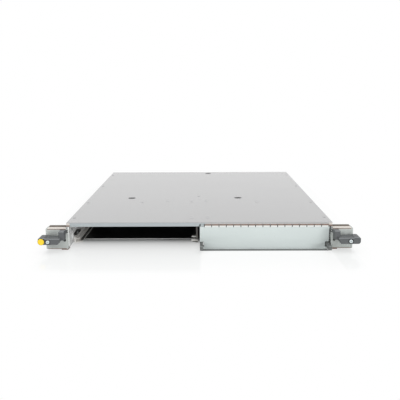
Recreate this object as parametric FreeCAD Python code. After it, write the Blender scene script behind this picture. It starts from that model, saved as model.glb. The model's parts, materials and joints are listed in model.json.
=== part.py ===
import FreeCAD, Part
import math
import os

# Switch line card: a flat sheet-metal carrier with two half-width module bays at its front.
# The left bay stands open and a blank filler panel closes the right one.
# A bracket with a swinging ejector handle stands out at each side.
# X runs to the right seen from the front, Y to the rear, Z up, all in millimetres.
# Places along Y are counted from the front edge of the cover, and Z from the floor.

# Cover, pan and walls
cover_width = 305.0
cover_length = 361.8
card_height = 31.8
same_place = 0.001
hexagon_sides = 6
cover_sheet = 1.2
cover_bend_radius = 0.96
pan_sheet = 1.2
wall_sheet = 1.4
cover_lip_depth = 4.6
filler_lip_depth = 2.0
cover_side_flange = 6.3
cover_rear_flange = 5.0
wall_flange_width = 8.5
wall_flange_front_y = 12.0
wall_front_y = 0.3
wall_front_bottom_z = 4.6
wall_slope_y = 20.0
wall_slope_run = 12.0
filled_bay_setback = 5.0
pan_front_y = 44.0
film_thickness = 0.3
film_border = 2.0

# Module bays and their guides
bay_depth = 123.0
bulkhead_sheet = 1.2
bulkhead_flange = 15.0
divider_gap = 3.6
guide_wall = 2.2
guide_flange_sheet = 1.0
guide_lower_reach = 4.3
guide_upper_reach = 3.3
outer_lower_reach = 6.7
outer_upper_reach = 4.1
guide_upper_top_z = 6.7
guide_outer_height = 8.2
guide_front_y = 24.0
guide_lead_in = 3.0
guide_top_flange = 9.5
guide_top_flange_length = 22.0

# Fasteners
press_clearance = 0.03
rivet_radius = 1.6
rivet_head_radius = 2.1
rivet_proud = 0.25
side_rivet_inset = 1.7
side_rivet_front_ys = (24.0, 109.0, 227.0)
side_rivet_rear_inset = 31.8
stud_radius = 2.0
stud_proud = 0.1
bulkhead_stud_places = ((-76.6, 12.2), (-42.7, 3.9), (-10.3, 10.3), (8.9, 3.9), (76.6, 12.2))
rear_stud_x = -1.5
rear_stud_setback = 27.1
divider_stud_x = 9.6
divider_stud_y = 22.1
front_dish_xs = (-93.6, 53.0)
front_dish_setback = 16.0
rear_dish_x = 14.3
rear_dish_inset = 13.6
dish_radius = 5.3
dish_floor_radius = 3.9
dish_depth = 2.0
dish_wall = 1.0
cover_screw_radius = 1.5
cover_screw_socket = 1.2
cover_screw_head_gap = 0.15
cover_screw_sunk = 0.3
cover_screw_socket_depth = 1.0
cover_screw_length = 9.0
cover_post_radius = 4.0

# Side brackets that carry the ejector handles
bracket_sheet = 1.5
bracket_width = 25.0
bracket_face_y = -2.0
bracket_bottom_z = 1.5
bracket_top_z = 25.0
bracket_flange_depth = 14.0
bracket_mount_length = 42.0
bracket_bend_radius = 1.0
notch_width = 8.0
notch_bottom_z = 20.0
hub_relief = 3.5
lug_length = 6.5
screw_hole_radius = 2.4
bracket_rivet_places = ((15.0, 20.6), (38.0, 19.6))
gasket_height = 1.3
gasket_round = 0.4
gasket_depth = 4.0
gasket_setback = 8.0
gasket_length = 21.0
foot_length = 7.7
foot_depth = 9.0
foot_setback = 1.0

# Ejector handles
pivot_out = 3.6
pivot_y = 1.3
pivot_pin_radius = 1.3
pin_running_gap = 0.06
hub_radius = 2.4
hub_gap = 0.5
handle_reach = 29.9
handle_front_y = -18.5
handle_face_gap = 2.6
arm_bottom_z = 10.9
arm_top_z = 18.0
arm_inner_top_out = 5.2
arm_inner_bottom_out = 8.0
arm_corner_z = 16.2
boss_width = 8.6
boss_rise = 1.0
boss_radius = 2.8
boss_slope = 1.4
knuckle_top_z = 25.2
knuckle_bottom_z = 14.6
knuckle_front_y = -13.2
knuckle_inner_back_out = 0.2
knuckle_inner_front_out = 1.4
knuckle_width = 7.7
knuckle_back_y = -4.5
knuckle_taper_back_z = 22.0
knuckle_taper_front_z = 19.4
neck_inner_out = 1.8
neck_width = 4.8
toe_length = 8.2
toe_width = 3.2
toe_round = 0.8
toe_height = 2.0
handle_edge = 0.7
knuckle_edge = 1.05
captive_out = 18.7
captive_z = 14.2
captive_head_radius = 2.0
captive_proud = 0.7
captive_shank_radius = 1.2
captive_pocket_radius = 3.0
captive_pocket_depth = 2.2
captive_running_gap = 0.1
captive_slot_width = 0.6
captive_slot_depth = 0.6
cap_out = 25.9
cap_z = 14.8
cap_radius = 3.8
cap_proud = 1.6
cap_seat_depth = 1.0
cap_edge = 0.6

# Blank filler panel in the right bay
filler_gap = 0.4
filler_sheet = 1.2
filler_bottom_z = 0.1
filler_top_z = 27.0
filler_side_flange = 12.0
filler_top_flange = 9.0
filler_bottom_flange = 13.0
filler_bend_radius = 1.0
runner_sheet = 1.2
runner_length = 88.0
runner_height = 9.0
runner_tongue_sheet = 1.4
runner_gap = 0.3
runner_tongue_gap = 1.5
runner_web_gap = 0.8
runner_foot = 12.0
strip_thickness = 0.25
strip_height = 2.5
strip_depth = 8.0
strip_inset = 1.4
strip_end_width = 4.3
strip_pitch = 8.4
strip_count = 17
strip_folds = 6
strip_slot = 0.7
strip_band = 1.2

# Latches of the filler panel
latch_width = 3.4
latch_inset = 0.2
latch_bottom_z = 3.1
latch_top_z = 8.3
latch_front_y = -17.0
latch_back_y = 13.0
latch_slot_gap = 0.5
latch_slot_side = 0.9
latch_hub_radius = 1.65
latch_hub_gap = 0.3
latch_pin_y = 8.0
latch_pin_radius = 0.8
latch_lug_z = 9.2
latch_lug_sheet = 1.2
latch_lug_width = 3.6
latch_lug_length = 8.0
latch_tongue_length = 8.5
latch_tongue_width = 1.2
latch_groove_count = 5
latch_groove_pitch = 2.4
latch_groove_depth = 0.4
latch_nose_round = 0.8
latch_groove_width = 0.8

# Module locks on the side walls of the bays
lock_plate_sheet = 0.8
lock_plate_front_y = 15.0
lock_plate_back_y = 58.0
lock_plate_low_z = 8.6
lock_plate_high_z = 16.4
lock_pivot_y = 34.5
lock_pivot_z = 11.8
lock_pin_radius = 1.1
lock_pin_head_radius = 1.8
lock_pin_head_height = 0.5
lock_lever_sheet = 1.0
lock_lever_gap = 0.3
lock_hub_radius = 3.0
lock_lever_front_y = 19.0
lock_lever_back_y = 55.0
lock_lever_tip_z = 9.6
lock_lever_front_z = 12.6
lock_lever_half = 1.2

# Finger strips on the front edges of the side walls
edge_strip_thickness = 0.3
edge_strip_low_z = 6.0
edge_strip_high_z = 26.4
edge_strip_count = 8
edge_strip_slot = 0.8
edge_strip_depth = 4.0
edge_strip_band = 1.4

# Electronics behind the bays
standoff_height = 6.0
standoff_radius = 2.6
board_sheet = 1.6
board_side_gap = 3.5
board_front_gap = 3.0
board_rear_gap = 11.0
board_post_gap = 1.5
board_screw_radius = 1.3
board_screw_head_radius = 2.4
board_screw_head_height = 1.4
board_fix_inset = 6.0
board_fix_middle_x = 14.0
board_fix_setback = 19.0
board_fix_rear_inset = 31.8
processor_xs = (-80.0, 70.0)
processor_setback = 77.0
processor_side = 42.0
processor_height = 3.0
sink_width = 62.0
sink_length = 58.0
sink_base = 2.4
sink_height = 14.0
sink_fins = 12
sink_fin_sheet = 1.0
memory_x = -10.0
memory_setback = 69.0
memory_count = 4
memory_pitch = 9.0
memory_length = 66.0
memory_sheet = 3.0
memory_height = 15.0
converter_x = -70.0
converter_rear_inset = 77.8
converter_count = 3
converter_pitch = 66.0
converter_width = 56.0
converter_length = 34.0
converter_height = 12.0
converter_groove = 1.2
converter_groove_count = 5
bay_connector_width = 60.0
bay_connector_height = 9.0
bay_connector_reach = 11.0
bay_connector_tail = 10.5
bay_connector_wall = 1.8
bay_connector_recess = 7.0
window_gap = 0.6
rear_connector_depth = 24.8
rear_connector_height = 15.0
rear_connector_width = 44.0
rear_gap = 8.0
rear_slot_pitch = 6.0
rear_slot_width = 2.4
rear_slot_depth = 9.0
rear_edge_wall = 3.0
power_connector_width = 22.0
power_blade_count = 4
power_blade_sheet = 1.6
power_blade_reach = 8.0
power_shroud = 1.6
guide_socket_inset = 5.9
guide_socket_width = 13.0
guide_socket_height = 14.0
guide_socket_bore = 3.5
guide_socket_depth = 18.0
guide_socket_rise = 7.0
rear_wall_height = 27.0

# Places that follow from the sizes above
half_cover = cover_width / 2
wall_out_x = half_cover - cover_sheet
wall_in_x = wall_out_x - wall_sheet
ceiling_z = card_height - cover_sheet
flange_low_z = ceiling_z - bulkhead_sheet
divider_half = divider_gap / 2
guide_web_x = divider_half + guide_wall
runner_bottom_z = pan_sheet + guide_flange_sheet + runner_gap
outer_web_x = wall_in_x - guide_wall
board_low_z = pan_sheet + standoff_height
board_top_z = board_low_z + board_sheet
rear_in_y = cover_length - cover_sheet
pan_rear_y = rear_in_y
filler_left_x = filler_gap
filler_right_x = wall_in_x - filler_gap
bay_centre_x = (guide_web_x + outer_web_x) / 2
bracket_back_y = bracket_face_y + bracket_sheet
handle_back_y = bracket_face_y - handle_face_gap
bracket_outer_x = wall_out_x + bracket_width
notch_outer_x = wall_out_x + notch_width
gasket_outer_x = half_cover + filler_gap + gasket_length
foot_outer_x = wall_out_x + foot_length
pivot_x = wall_out_x + pivot_out
handle_end_x = wall_out_x + handle_reach
arm_inner_top_x = wall_out_x + arm_inner_top_out
arm_inner_bottom_x = wall_out_x + arm_inner_bottom_out
knuckle_inner_back_x = wall_out_x + knuckle_inner_back_out
knuckle_inner_front_x = wall_out_x + knuckle_inner_front_out
knuckle_outer_x = wall_out_x + knuckle_width
neck_inner_x = wall_out_x + neck_inner_out
neck_outer_x = neck_inner_x + neck_width
captive_x = wall_out_x + captive_out
cap_x = wall_out_x + cap_out
front_dish_y = bay_depth + front_dish_setback
dish_places = [(x, front_dish_y) for x in front_dish_xs]
dish_places.append((rear_dish_x, cover_length - rear_dish_inset))
side_rivet_ys = side_rivet_front_ys + (cover_length - side_rivet_rear_inset,)
board_half = wall_in_x - wall_flange_width - board_side_gap
board_fix_xs = (board_fix_inset - board_half, board_fix_middle_x, board_half - board_fix_inset)
board_fix_ys = (bay_depth + board_fix_setback, cover_length - board_fix_rear_inset)
processor_places = [(x, bay_depth + processor_setback) for x in processor_xs]
bay_connector_front_y = bay_depth - bay_connector_reach
bay_connector_back_y = bay_depth + bay_connector_tail
rear_connector_front_y = cover_length - rear_connector_depth
guide_socket_x = board_half - guide_socket_inset
socket_inner_x = guide_socket_x - guide_socket_width / 2
power_connector_x = socket_inner_x - rear_gap - power_connector_width / 2
outer_connector_x = rear_gap + rear_connector_width / 2 - socket_inner_x
middle_connector_x = outer_connector_x + rear_connector_width + rear_gap
power_side_x = power_connector_x - power_connector_width / 2 - rear_gap - rear_connector_width / 2
rear_connector_xs = (outer_connector_x, middle_connector_x, power_side_x)
front_reach = -handle_front_y + cap_proud
origin_y = (cover_length - front_reach) / 2

UP = FreeCAD.Vector(0, 0, 1)
BACK = FreeCAD.Vector(0, 1, 0)
RIGHT = FreeCAD.Vector(1, 0, 0)
ORIGIN = FreeCAD.Vector(0, 0, 0)

nodes = {}


def block(x0, x1, y0, y1, z0, z1):
    """A box between two corners."""
    return Part.makeBox(x1 - x0, y1 - y0, z1 - z0, FreeCAD.Vector(x0, y0, z0))


def rod(radius, start, direction, length):
    """A round bar from a start point along a direction."""
    return Part.makeCylinder(radius, length, FreeCAD.Vector(*start), direction)


def prism(corners, sweep):
    """A flat outline swept along a vector. Each corner is an (x, y, z) point."""
    points = [FreeCAD.Vector(*corner) for corner in corners]
    outline = Part.makePolygon(points + points[:1])
    return Part.Face(outline).extrude(FreeCAD.Vector(*sweep))


def fuse(shapes):
    """One clean solid from pieces that meet."""
    return shapes[0].multiFuse(shapes[1:]).removeSplitter()


def group(shapes):
    """Separate solids that share a file."""
    return Part.makeCompound(shapes)


def mirrored(shape):
    """The same piece for the other side of the card."""
    return shape.mirror(ORIGIN, RIGHT)


def edges_where(shape, test):
    """The straight edges whose two ends both pass a test."""
    found = []
    for edge in shape.Edges:
        ends = [vertex.Point for vertex in edge.Vertexes]
        if len(ends) == 2 and all(test(end) for end in ends):
            found.append(edge)
    return found


def near(a, b):
    """True where two places along an axis are the same."""
    return abs(a - b) < same_place


def pair(name, shape):
    """Store a right-hand piece and its mirror image."""
    nodes[name + "_right"] = shape
    nodes[name + "_left"] = mirrored(shape)


def stud_places():
    """Where the pressed studs show on the cover, with what each one holds below it."""
    places = [(x, bay_depth - inset, bulkhead_sheet) for x, inset in bulkhead_stud_places]
    places.append((rear_stud_x, bay_depth + rear_stud_setback, 0.0))
    places.append((-divider_stud_x, divider_stud_y, bulkhead_sheet))
    places.append((divider_stud_x, divider_stud_y, bulkhead_sheet))
    return places


def side_rivet_places():
    """Rivets through the cover into the top flanges of the side walls."""
    inner = wall_in_x - side_rivet_inset
    return [(side * inner, y) for side in (-1, 1) for y in side_rivet_ys]


def make_cover():
    """Top sheet with a front lip, side and rear flanges and three dished screw seats."""
    sheet = block(-half_cover, half_cover, 0, cover_length, ceiling_z, card_height)
    lip_z = card_height - cover_lip_depth
    lip = block(-half_cover, 0, 0, cover_sheet, lip_z, card_height)
    short_z = card_height - filler_lip_depth
    short_lip = block(0, half_cover, 0, cover_sheet, short_z, card_height)
    side_z = card_height - cover_side_flange
    side = block(wall_out_x, half_cover, 0, cover_length, side_z, card_height)
    rear_z = card_height - cover_rear_flange
    rear = block(-half_cover, half_cover, rear_in_y, cover_length, rear_z, card_height)
    cover = fuse([sheet, lip, short_lip, side, mirrored(side), rear])
    bend = edges_where(cover, lambda p: near(p.z, card_height) and near(p.y, 0))
    cover = cover.makeFillet(cover_bend_radius, bend)
    for x, y in dish_places:
        top = FreeCAD.Vector(x, y, card_height)
        low = card_height - dish_depth
        outer = Part.makeCone(dish_floor_radius + dish_wall, dish_radius + dish_wall,
                              dish_depth, FreeCAD.Vector(x, y, low - dish_wall), UP)
        inner = Part.makeCone(dish_floor_radius, dish_radius, dish_depth,
                              FreeCAD.Vector(x, y, low), UP)
        hole = rod(cover_screw_radius + press_clearance, (x, y, low - 2 * dish_wall), UP,
                   dish_depth + 2 * dish_wall)
        cover = cover.fuse(outer).cut(inner).cut(hole)
    for x, y, held in stud_places():
        cover = cover.cut(rod(stud_radius + press_clearance, (x, y, ceiling_z), UP, cover_sheet))
    for x, y in side_rivet_places():
        cover = cover.cut(rod(rivet_radius + press_clearance, (x, y, ceiling_z), UP, cover_sheet))
    return cover.removeSplitter()


def make_studs():
    """Pressed studs, a hair proud of the cover, through the cover and what it holds."""
    studs = []
    for x, y, held in stud_places():
        low = ceiling_z - held
        studs.append(rod(stud_radius, (x, y, low), UP, card_height + stud_proud - low))
    return group(studs)


def make_side_rivets():
    """Flush rivets along both sides of the cover."""
    rivets = []
    for x, y in side_rivet_places():
        low = ceiling_z - wall_sheet
        shank = rod(rivet_radius, (x, y, low), UP, card_height + rivet_proud - low)
        rivets.append(shank)
    return group(rivets)


def make_cover_screws():
    """Dark screws that sit in the dished seats."""
    screws = []
    for x, y in dish_places:
        seat = card_height - dish_depth
        low = dish_floor_radius - cover_screw_head_gap
        high = dish_radius - cover_screw_head_gap
        head = Part.makeCone(low, high, dish_depth, FreeCAD.Vector(x, y, seat), UP)
        top = card_height - cover_screw_sunk
        head = head.cut(rod(dish_radius, (x, y, top), UP, dish_depth))
        socket = rod(cover_screw_socket, (x, y, top - cover_screw_socket_depth), UP,
                     cover_screw_socket_depth)
        shank = rod(cover_screw_radius, (x, y, seat - cover_screw_length), UP, cover_screw_length)
        screws.append(head.fuse(shank).cut(socket).removeSplitter())
    return group(screws)


def hexagon(x, y, radius, low, height):
    """An upright hexagonal bar."""
    corners = []
    for step in range(hexagon_sides):
        turn = 2 * math.pi * step / hexagon_sides
        corners.append((x + radius * math.cos(turn), y + radius * math.sin(turn), low))
    return prism(corners, (0, 0, height))


def make_cover_posts():
    """Hexagonal posts between the pan and the dished seats."""
    posts = []
    top = card_height - dish_depth - dish_wall
    depth = cover_screw_length
    for x, y in dish_places:
        post = hexagon(x, y, cover_post_radius, pan_sheet, top - pan_sheet)
        hole = rod(cover_screw_radius + press_clearance, (x, y, top - depth), UP, depth)
        posts.append(post.cut(hole))
    return group(posts)


def make_side_wall():
    """Right side wall with an inward flange along its top and bottom, cut away low in front."""
    bottom_y = wall_slope_y + wall_slope_run
    outline = [(wall_in_x, wall_front_y, ceiling_z), (wall_in_x, rear_in_y, ceiling_z),
               (wall_in_x, rear_in_y, 0), (wall_in_x, bottom_y, 0),
               (wall_in_x, wall_slope_y, wall_front_bottom_z),
               (wall_in_x, wall_front_y, wall_front_bottom_z)]
    sheet = prism(outline, (wall_sheet, 0, 0))
    flange_in = wall_in_x - wall_flange_width
    top = block(flange_in, wall_out_x, wall_flange_front_y, rear_in_y, ceiling_z - wall_sheet,
                ceiling_z)
    low_front = bay_depth + bulkhead_sheet
    low = block(flange_in, wall_out_x, low_front, pan_rear_y - pan_sheet, pan_sheet,
                pan_sheet + wall_sheet)
    wall = fuse([sheet, top, low])
    lip = block(wall_in_x, wall_out_x, wall_front_y, cover_sheet, card_height - cover_lip_depth,
                ceiling_z)
    wall = wall.cut(lip)
    for x, y in side_rivet_places():
        if x > 0:
            low_z = ceiling_z - wall_sheet
            wall = wall.cut(rod(rivet_radius + press_clearance, (x, y, low_z), UP, wall_sheet))
    for y, z in bracket_rivet_places:
        start = (wall_in_x, y, z)
        wall = wall.cut(rod(rivet_radius + press_clearance, start, RIGHT, wall_sheet))
    pin_hole = rod(lock_pin_radius + press_clearance, (wall_in_x, lock_pivot_y, lock_pivot_z),
                   RIGHT, wall_sheet)
    return wall.cut(pin_hole)


def rear_windows():
    """The boxes that the rear connectors and guide sockets pass through."""
    low = board_top_z
    places = [(x, rear_connector_width, rear_connector_height) for x in rear_connector_xs]
    places.append((power_connector_x, power_connector_width, rear_connector_height))
    for side in (-1, 1):
        places.append((side * guide_socket_x, guide_socket_width, guide_socket_height))
    boxes = []
    for x, width, height in places:
        half = width / 2 + window_gap
        boxes.append(block(x - half, x + half, pan_rear_y - 2 * pan_sheet, cover_length,
                           low - window_gap, low + height + window_gap))
    return boxes


def make_pan():
    """Bottom sheet behind the open front of the bays, with its rear wall folded up."""
    floor = block(-wall_in_x, wall_in_x, pan_front_y, pan_rear_y, 0, pan_sheet)
    rear = block(-wall_in_x + wall_flange_width, wall_in_x - wall_flange_width,
                 pan_rear_y - pan_sheet, pan_rear_y, 0, rear_wall_height)
    pan = fuse([floor, rear])
    for window in rear_windows():
        pan = pan.cut(window)
    return pan.removeSplitter()


def make_films():
    """Black insulating films on the floor of the two bays."""
    inner = guide_web_x + guide_lower_reach + film_border
    outer = outer_web_x - outer_lower_reach - film_border
    film = block(inner, outer, pan_front_y + film_border, bay_depth - film_border,
                 pan_sheet, pan_sheet + film_thickness)
    return group([film, mirrored(film)])


def make_bulkhead():
    """Cross wall at the back of the bays, with a flange under the cover and two windows."""
    wall = block(-outer_web_x, outer_web_x, bay_depth, bay_depth + bulkhead_sheet,
                 pan_sheet, ceiling_z)
    limit = wall_in_x - wall_flange_width - window_gap
    flange = block(-limit, limit, bay_depth - bulkhead_flange, bay_depth, flange_low_z, ceiling_z)
    bulkhead = fuse([wall, flange])
    for side in (-1, 1):
        corner = block(limit, half_cover, bay_depth, bay_depth + bulkhead_sheet,
                       ceiling_z - wall_sheet - window_gap, ceiling_z)
        if side < 0:
            corner = mirrored(corner)
        bulkhead = bulkhead.cut(corner)
        half = bay_connector_width / 2 + window_gap
        middle = side * bay_centre_x
        window = block(middle - half, middle + half, bay_depth, bay_depth + bulkhead_sheet,
                       board_low_z - window_gap, board_top_z + bay_connector_height + window_gap)
        bulkhead = bulkhead.cut(window)
    slot = guide_web_x + window_gap
    bulkhead = bulkhead.cut(block(-slot, slot, 0, bay_depth, flange_low_z, ceiling_z))
    for x, inset in bulkhead_stud_places:
        start = (x, bay_depth - inset, flange_low_z)
        hole = rod(stud_radius + press_clearance, start, UP, bulkhead_sheet)
        bulkhead = bulkhead.cut(hole)
    return bulkhead


def guide_flange(web_x, tip_x, low_z):
    """One flat flange of a guide, with its front corner cut off as a lead-in."""
    corners = [(web_x, guide_front_y, low_z), (tip_x, guide_front_y + guide_lead_in, low_z),
               (tip_x, bay_depth, low_z), (web_x, bay_depth, low_z)]
    return prism(corners, (0, 0, guide_flange_sheet))


def make_inner_guide():
    """Right half of the bay divider: a web up to the cover with two guide flanges."""
    web = block(divider_half, guide_web_x, guide_front_y, bay_depth, pan_sheet, ceiling_z)
    low = guide_flange(divider_half, guide_web_x + guide_lower_reach, pan_sheet)
    high_z = guide_upper_top_z - guide_flange_sheet
    high = guide_flange(divider_half, guide_web_x + guide_upper_reach, high_z)
    front = divider_stud_y - guide_top_flange / 2
    top = block(divider_half, guide_web_x + guide_top_flange, front,
                front + guide_top_flange_length, flange_low_z, ceiling_z)
    guide = fuse([web, low, high, top])
    hole = rod(stud_radius + press_clearance, (divider_stud_x, divider_stud_y, flange_low_z), UP,
               bulkhead_sheet)
    return guide.cut(hole)


def make_outer_guide():
    """Low channel guide along the inside of the right wall."""
    web = block(outer_web_x, wall_in_x, guide_front_y, bay_depth, pan_sheet, guide_outer_height)
    low = guide_flange(wall_in_x, outer_web_x - outer_lower_reach, pan_sheet)
    high_z = guide_upper_top_z - guide_flange_sheet
    high = guide_flange(wall_in_x, outer_web_x - outer_upper_reach, high_z)
    return fuse([web, low, high])


def make_bracket():
    """Right side bracket: one folded sheet with a notch and a lug for the handle's pivot."""
    back = bracket_face_y + bracket_flange_depth
    face = block(wall_out_x, bracket_outer_x, bracket_face_y, bracket_back_y,
                 bracket_bottom_z, bracket_top_z)
    top_low_z = bracket_top_z - bracket_sheet
    top = block(wall_out_x, bracket_outer_x, bracket_face_y, back, top_low_z, bracket_top_z)
    low = block(wall_out_x, bracket_outer_x, bracket_face_y, back, bracket_bottom_z,
                bracket_bottom_z + bracket_sheet)
    outer = block(bracket_outer_x - bracket_sheet, bracket_outer_x, bracket_face_y, back,
                  bracket_bottom_z, bracket_top_z)
    mount = block(wall_out_x, wall_out_x + bracket_sheet, bracket_face_y, bracket_mount_length,
                  bracket_bottom_z, bracket_top_z)
    notch = block(wall_out_x, notch_outer_x, bracket_face_y, bracket_back_y,
                  notch_bottom_z, bracket_top_z)
    relief = block(wall_out_x, wall_out_x + bracket_sheet, bracket_face_y,
                   pivot_y + hub_relief, notch_bottom_z, top_low_z)
    lug = block(wall_out_x, notch_outer_x, bracket_face_y, bracket_back_y + lug_length,
                notch_bottom_z - bracket_sheet, notch_bottom_z)
    bracket = fuse([face, top, low, outer, mount]).cut(notch).cut(relief).fuse(lug)
    bracket = bracket.removeSplitter()
    bend = edges_where(bracket, lambda p: near(p.y, bracket_face_y) and near(p.x, bracket_outer_x))
    bracket = bracket.makeFillet(bracket_bend_radius, bend)
    cuts = [rod(pivot_pin_radius + press_clearance, (pivot_x, pivot_y, 0), UP, card_height)
            .common(block(0, half_cover + bracket_outer_x, bracket_face_y, back,
                          notch_bottom_z - bracket_sheet, bracket_top_z))]
    cuts.append(rod(screw_hole_radius, (captive_x, bracket_face_y, captive_z), BACK, bracket_sheet))
    for y, z in bracket_rivet_places:
        cuts.append(rod(rivet_radius + press_clearance, (wall_out_x, y, z), RIGHT, bracket_sheet))
    for cut in cuts:
        bracket = bracket.cut(cut)
    return bracket


def make_bracket_rivets():
    """Rivets from the inside of the wall through the bracket."""
    rivets = []
    for y, z in bracket_rivet_places:
        head = rod(rivet_head_radius, (wall_in_x - rivet_proud, y, z), RIGHT, rivet_proud)
        shank = rod(rivet_radius, (wall_in_x, y, z), RIGHT, wall_sheet + bracket_sheet)
        rivets.append(head.fuse(shank).removeSplitter())
    return group(rivets)


def make_top_gasket():
    """Soft conductive strip on the bracket's top flange."""
    front = bracket_face_y + gasket_setback
    strip = block(half_cover + filler_gap, gasket_outer_x, front, front + gasket_depth,
                  bracket_top_z, bracket_top_z + gasket_height)
    edges = edges_where(strip, lambda p: near(p.z, bracket_top_z + gasket_height))
    return strip.makeFillet(gasket_round, edges)


def make_foot_gasket():
    """Short soft pad under the bracket's bottom flange, which reaches the floor."""
    front = bracket_face_y + foot_setback
    return block(wall_out_x, foot_outer_x, front, front + foot_depth, 0, bracket_bottom_z)


def make_edge_strip():
    """Spring finger strip clipped over the front edge of the right wall."""
    front = wall_front_y - edge_strip_thickness
    face = block(wall_in_x - edge_strip_thickness, wall_out_x, front, wall_front_y,
                 edge_strip_low_z, edge_strip_high_z)
    leg = block(wall_in_x - edge_strip_thickness, wall_in_x, front, edge_strip_depth,
                edge_strip_low_z, edge_strip_high_z)
    strip = face.fuse(leg)
    pitch = (edge_strip_high_z - edge_strip_low_z) / edge_strip_count
    slot_back = edge_strip_depth - edge_strip_band
    for step in range(1, edge_strip_count):
        middle = edge_strip_low_z + step * pitch
        slot = block(wall_in_x - edge_strip_thickness, wall_out_x, front, slot_back,
                     middle - edge_strip_slot / 2, middle + edge_strip_slot / 2)
        strip = strip.cut(slot)
    return strip.removeSplitter()


def arm_outline():
    """Front view of the handle's arm and its rounded end boss, at the arm's front face."""
    top = arm_top_z + boss_rise
    boss_in = handle_end_x - boss_width
    r = boss_radius
    s = math.sqrt(0.5)
    y = handle_front_y

    def point(x, z):
        return FreeCAD.Vector(x, y, z)

    edges = [Part.LineSegment(point(arm_inner_top_x, arm_corner_z), point(arm_inner_top_x, arm_top_z)),
             Part.LineSegment(point(arm_inner_top_x, arm_top_z), point(boss_in, arm_top_z)),
             Part.LineSegment(point(boss_in, arm_top_z), point(boss_in + boss_slope, top)),
             Part.LineSegment(point(boss_in + boss_slope, top), point(handle_end_x - r, top)),
             Part.Arc(point(handle_end_x - r, top), point(handle_end_x - r + r * s, top - r + r * s),
                      point(handle_end_x, top - r)),
             Part.LineSegment(point(handle_end_x, top - r), point(handle_end_x, arm_bottom_z + r)),
             Part.Arc(point(handle_end_x, arm_bottom_z + r),
                      point(handle_end_x - r + r * s, arm_bottom_z + r - r * s),
                      point(handle_end_x - r, arm_bottom_z)),
             Part.LineSegment(point(handle_end_x - r, arm_bottom_z), point(arm_inner_bottom_x, arm_bottom_z)),
             Part.LineSegment(point(arm_inner_bottom_x, arm_bottom_z), point(arm_inner_top_x, arm_corner_z))]
    return Part.Wire([edge.toShape() for edge in edges])


def make_handle():
    """Right ejector handle: arm, upright knuckle, hub on the pivot pin and rear toe."""
    arm = Part.Face(arm_outline()).extrude(BACK * (handle_back_y - handle_front_y))
    rim = edges_where(arm, lambda p: near(p.y, handle_front_y) and p.z > arm_top_z - handle_edge)
    arm = arm.makeChamfer(handle_edge, rim)
    plan = [(knuckle_inner_back_x, knuckle_back_y, knuckle_bottom_z),
            (knuckle_inner_front_x, knuckle_front_y, knuckle_bottom_z),
            (knuckle_outer_x, knuckle_front_y, knuckle_bottom_z),
            (knuckle_outer_x, handle_back_y, knuckle_bottom_z),
            (neck_inner_x, handle_back_y, knuckle_bottom_z)]
    knuckle = prism(plan, (0, 0, knuckle_top_z - knuckle_bottom_z))
    top_rim = edges_where(knuckle, lambda p: near(p.z, knuckle_top_z) and p.y < knuckle_back_y)
    knuckle = knuckle.makeChamfer(knuckle_edge, top_rim)
    hub_low = notch_bottom_z + hub_gap
    hub_high = bracket_top_z - bracket_sheet - hub_gap
    low = knuckle_bottom_z - boss_rise
    slant = prism([(knuckle_inner_back_x - boss_rise, handle_front_y, knuckle_taper_back_z),
                   (knuckle_inner_back_x, handle_front_y, knuckle_taper_back_z),
                   (knuckle_inner_front_x, handle_front_y, knuckle_taper_front_z),
                   (knuckle_inner_front_x, handle_front_y, low),
                   (knuckle_inner_back_x - boss_rise, handle_front_y, low)],
                  (0, -handle_front_y - handle_face_gap, 0))
    knuckle = knuckle.cut(slant)
    height = hub_high - hub_low
    hub = rod(hub_radius, (pivot_x, pivot_y, hub_low), UP, height)
    neck = block(neck_inner_x, neck_outer_x, handle_back_y - boss_rise, pivot_y,
                 hub_low, hub_high)
    toe_z = (hub_low + hub_high) / 2 - toe_height / 2
    toe = block(pivot_x - toe_width / 2, pivot_x + toe_width / 2, pivot_y, pivot_y + toe_length,
                toe_z, toe_z + toe_height)
    toe = toe.makeFillet(toe_round, edges_where(toe, lambda p: near(p.y, pivot_y + toe_length)))
    handle = fuse([arm, knuckle, hub, neck, toe])
    bore = rod(pivot_pin_radius + pin_running_gap, (pivot_x, pivot_y, hub_low), UP, height)
    pocket = rod(captive_pocket_radius, (captive_x, handle_front_y, captive_z), BACK,
                 captive_pocket_depth)
    hole = rod(captive_shank_radius + captive_running_gap, (captive_x, handle_front_y, captive_z),
               BACK, handle_back_y - handle_front_y)
    return handle.cut(bore).cut(pocket).cut(hole)


def make_pivot_pin():
    """Pin through the bracket's top flange, the handle's hub and the lug."""
    low = notch_bottom_z - bracket_sheet
    return rod(pivot_pin_radius, (pivot_x, pivot_y, low), UP, bracket_top_z - low)


def make_captive_screw():
    """Slotted screw that stays in the handle's arm."""
    seat = handle_front_y + captive_pocket_depth - captive_running_gap
    front = handle_front_y - captive_proud
    head = rod(captive_head_radius, (captive_x, front, captive_z), BACK, seat - front)
    rim = [edge for edge in head.Edges if near(edge.CenterOfMass.y, front)]
    head = head.makeChamfer(captive_slot_depth / 2, rim)
    slot = block(captive_x - captive_head_radius, captive_x + captive_head_radius,
                 front, front + captive_slot_depth,
                 captive_z - captive_slot_width / 2, captive_z + captive_slot_width / 2)
    tip = handle_back_y - captive_running_gap
    shank = rod(captive_shank_radius, (captive_x, seat, captive_z), BACK, tip - seat)
    return head.cut(slot).fuse(shank).removeSplitter()


def make_handle_cap():
    """Round cap on the end boss of the left handle."""
    front = handle_front_y - cap_proud
    start = (-cap_x, front, cap_z)
    cap = rod(cap_radius, start, BACK, cap_proud + cap_seat_depth)
    rim = [edge for edge in cap.Edges if near(edge.CenterOfMass.y, front)]
    return cap.makeChamfer(cap_edge, rim)


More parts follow.
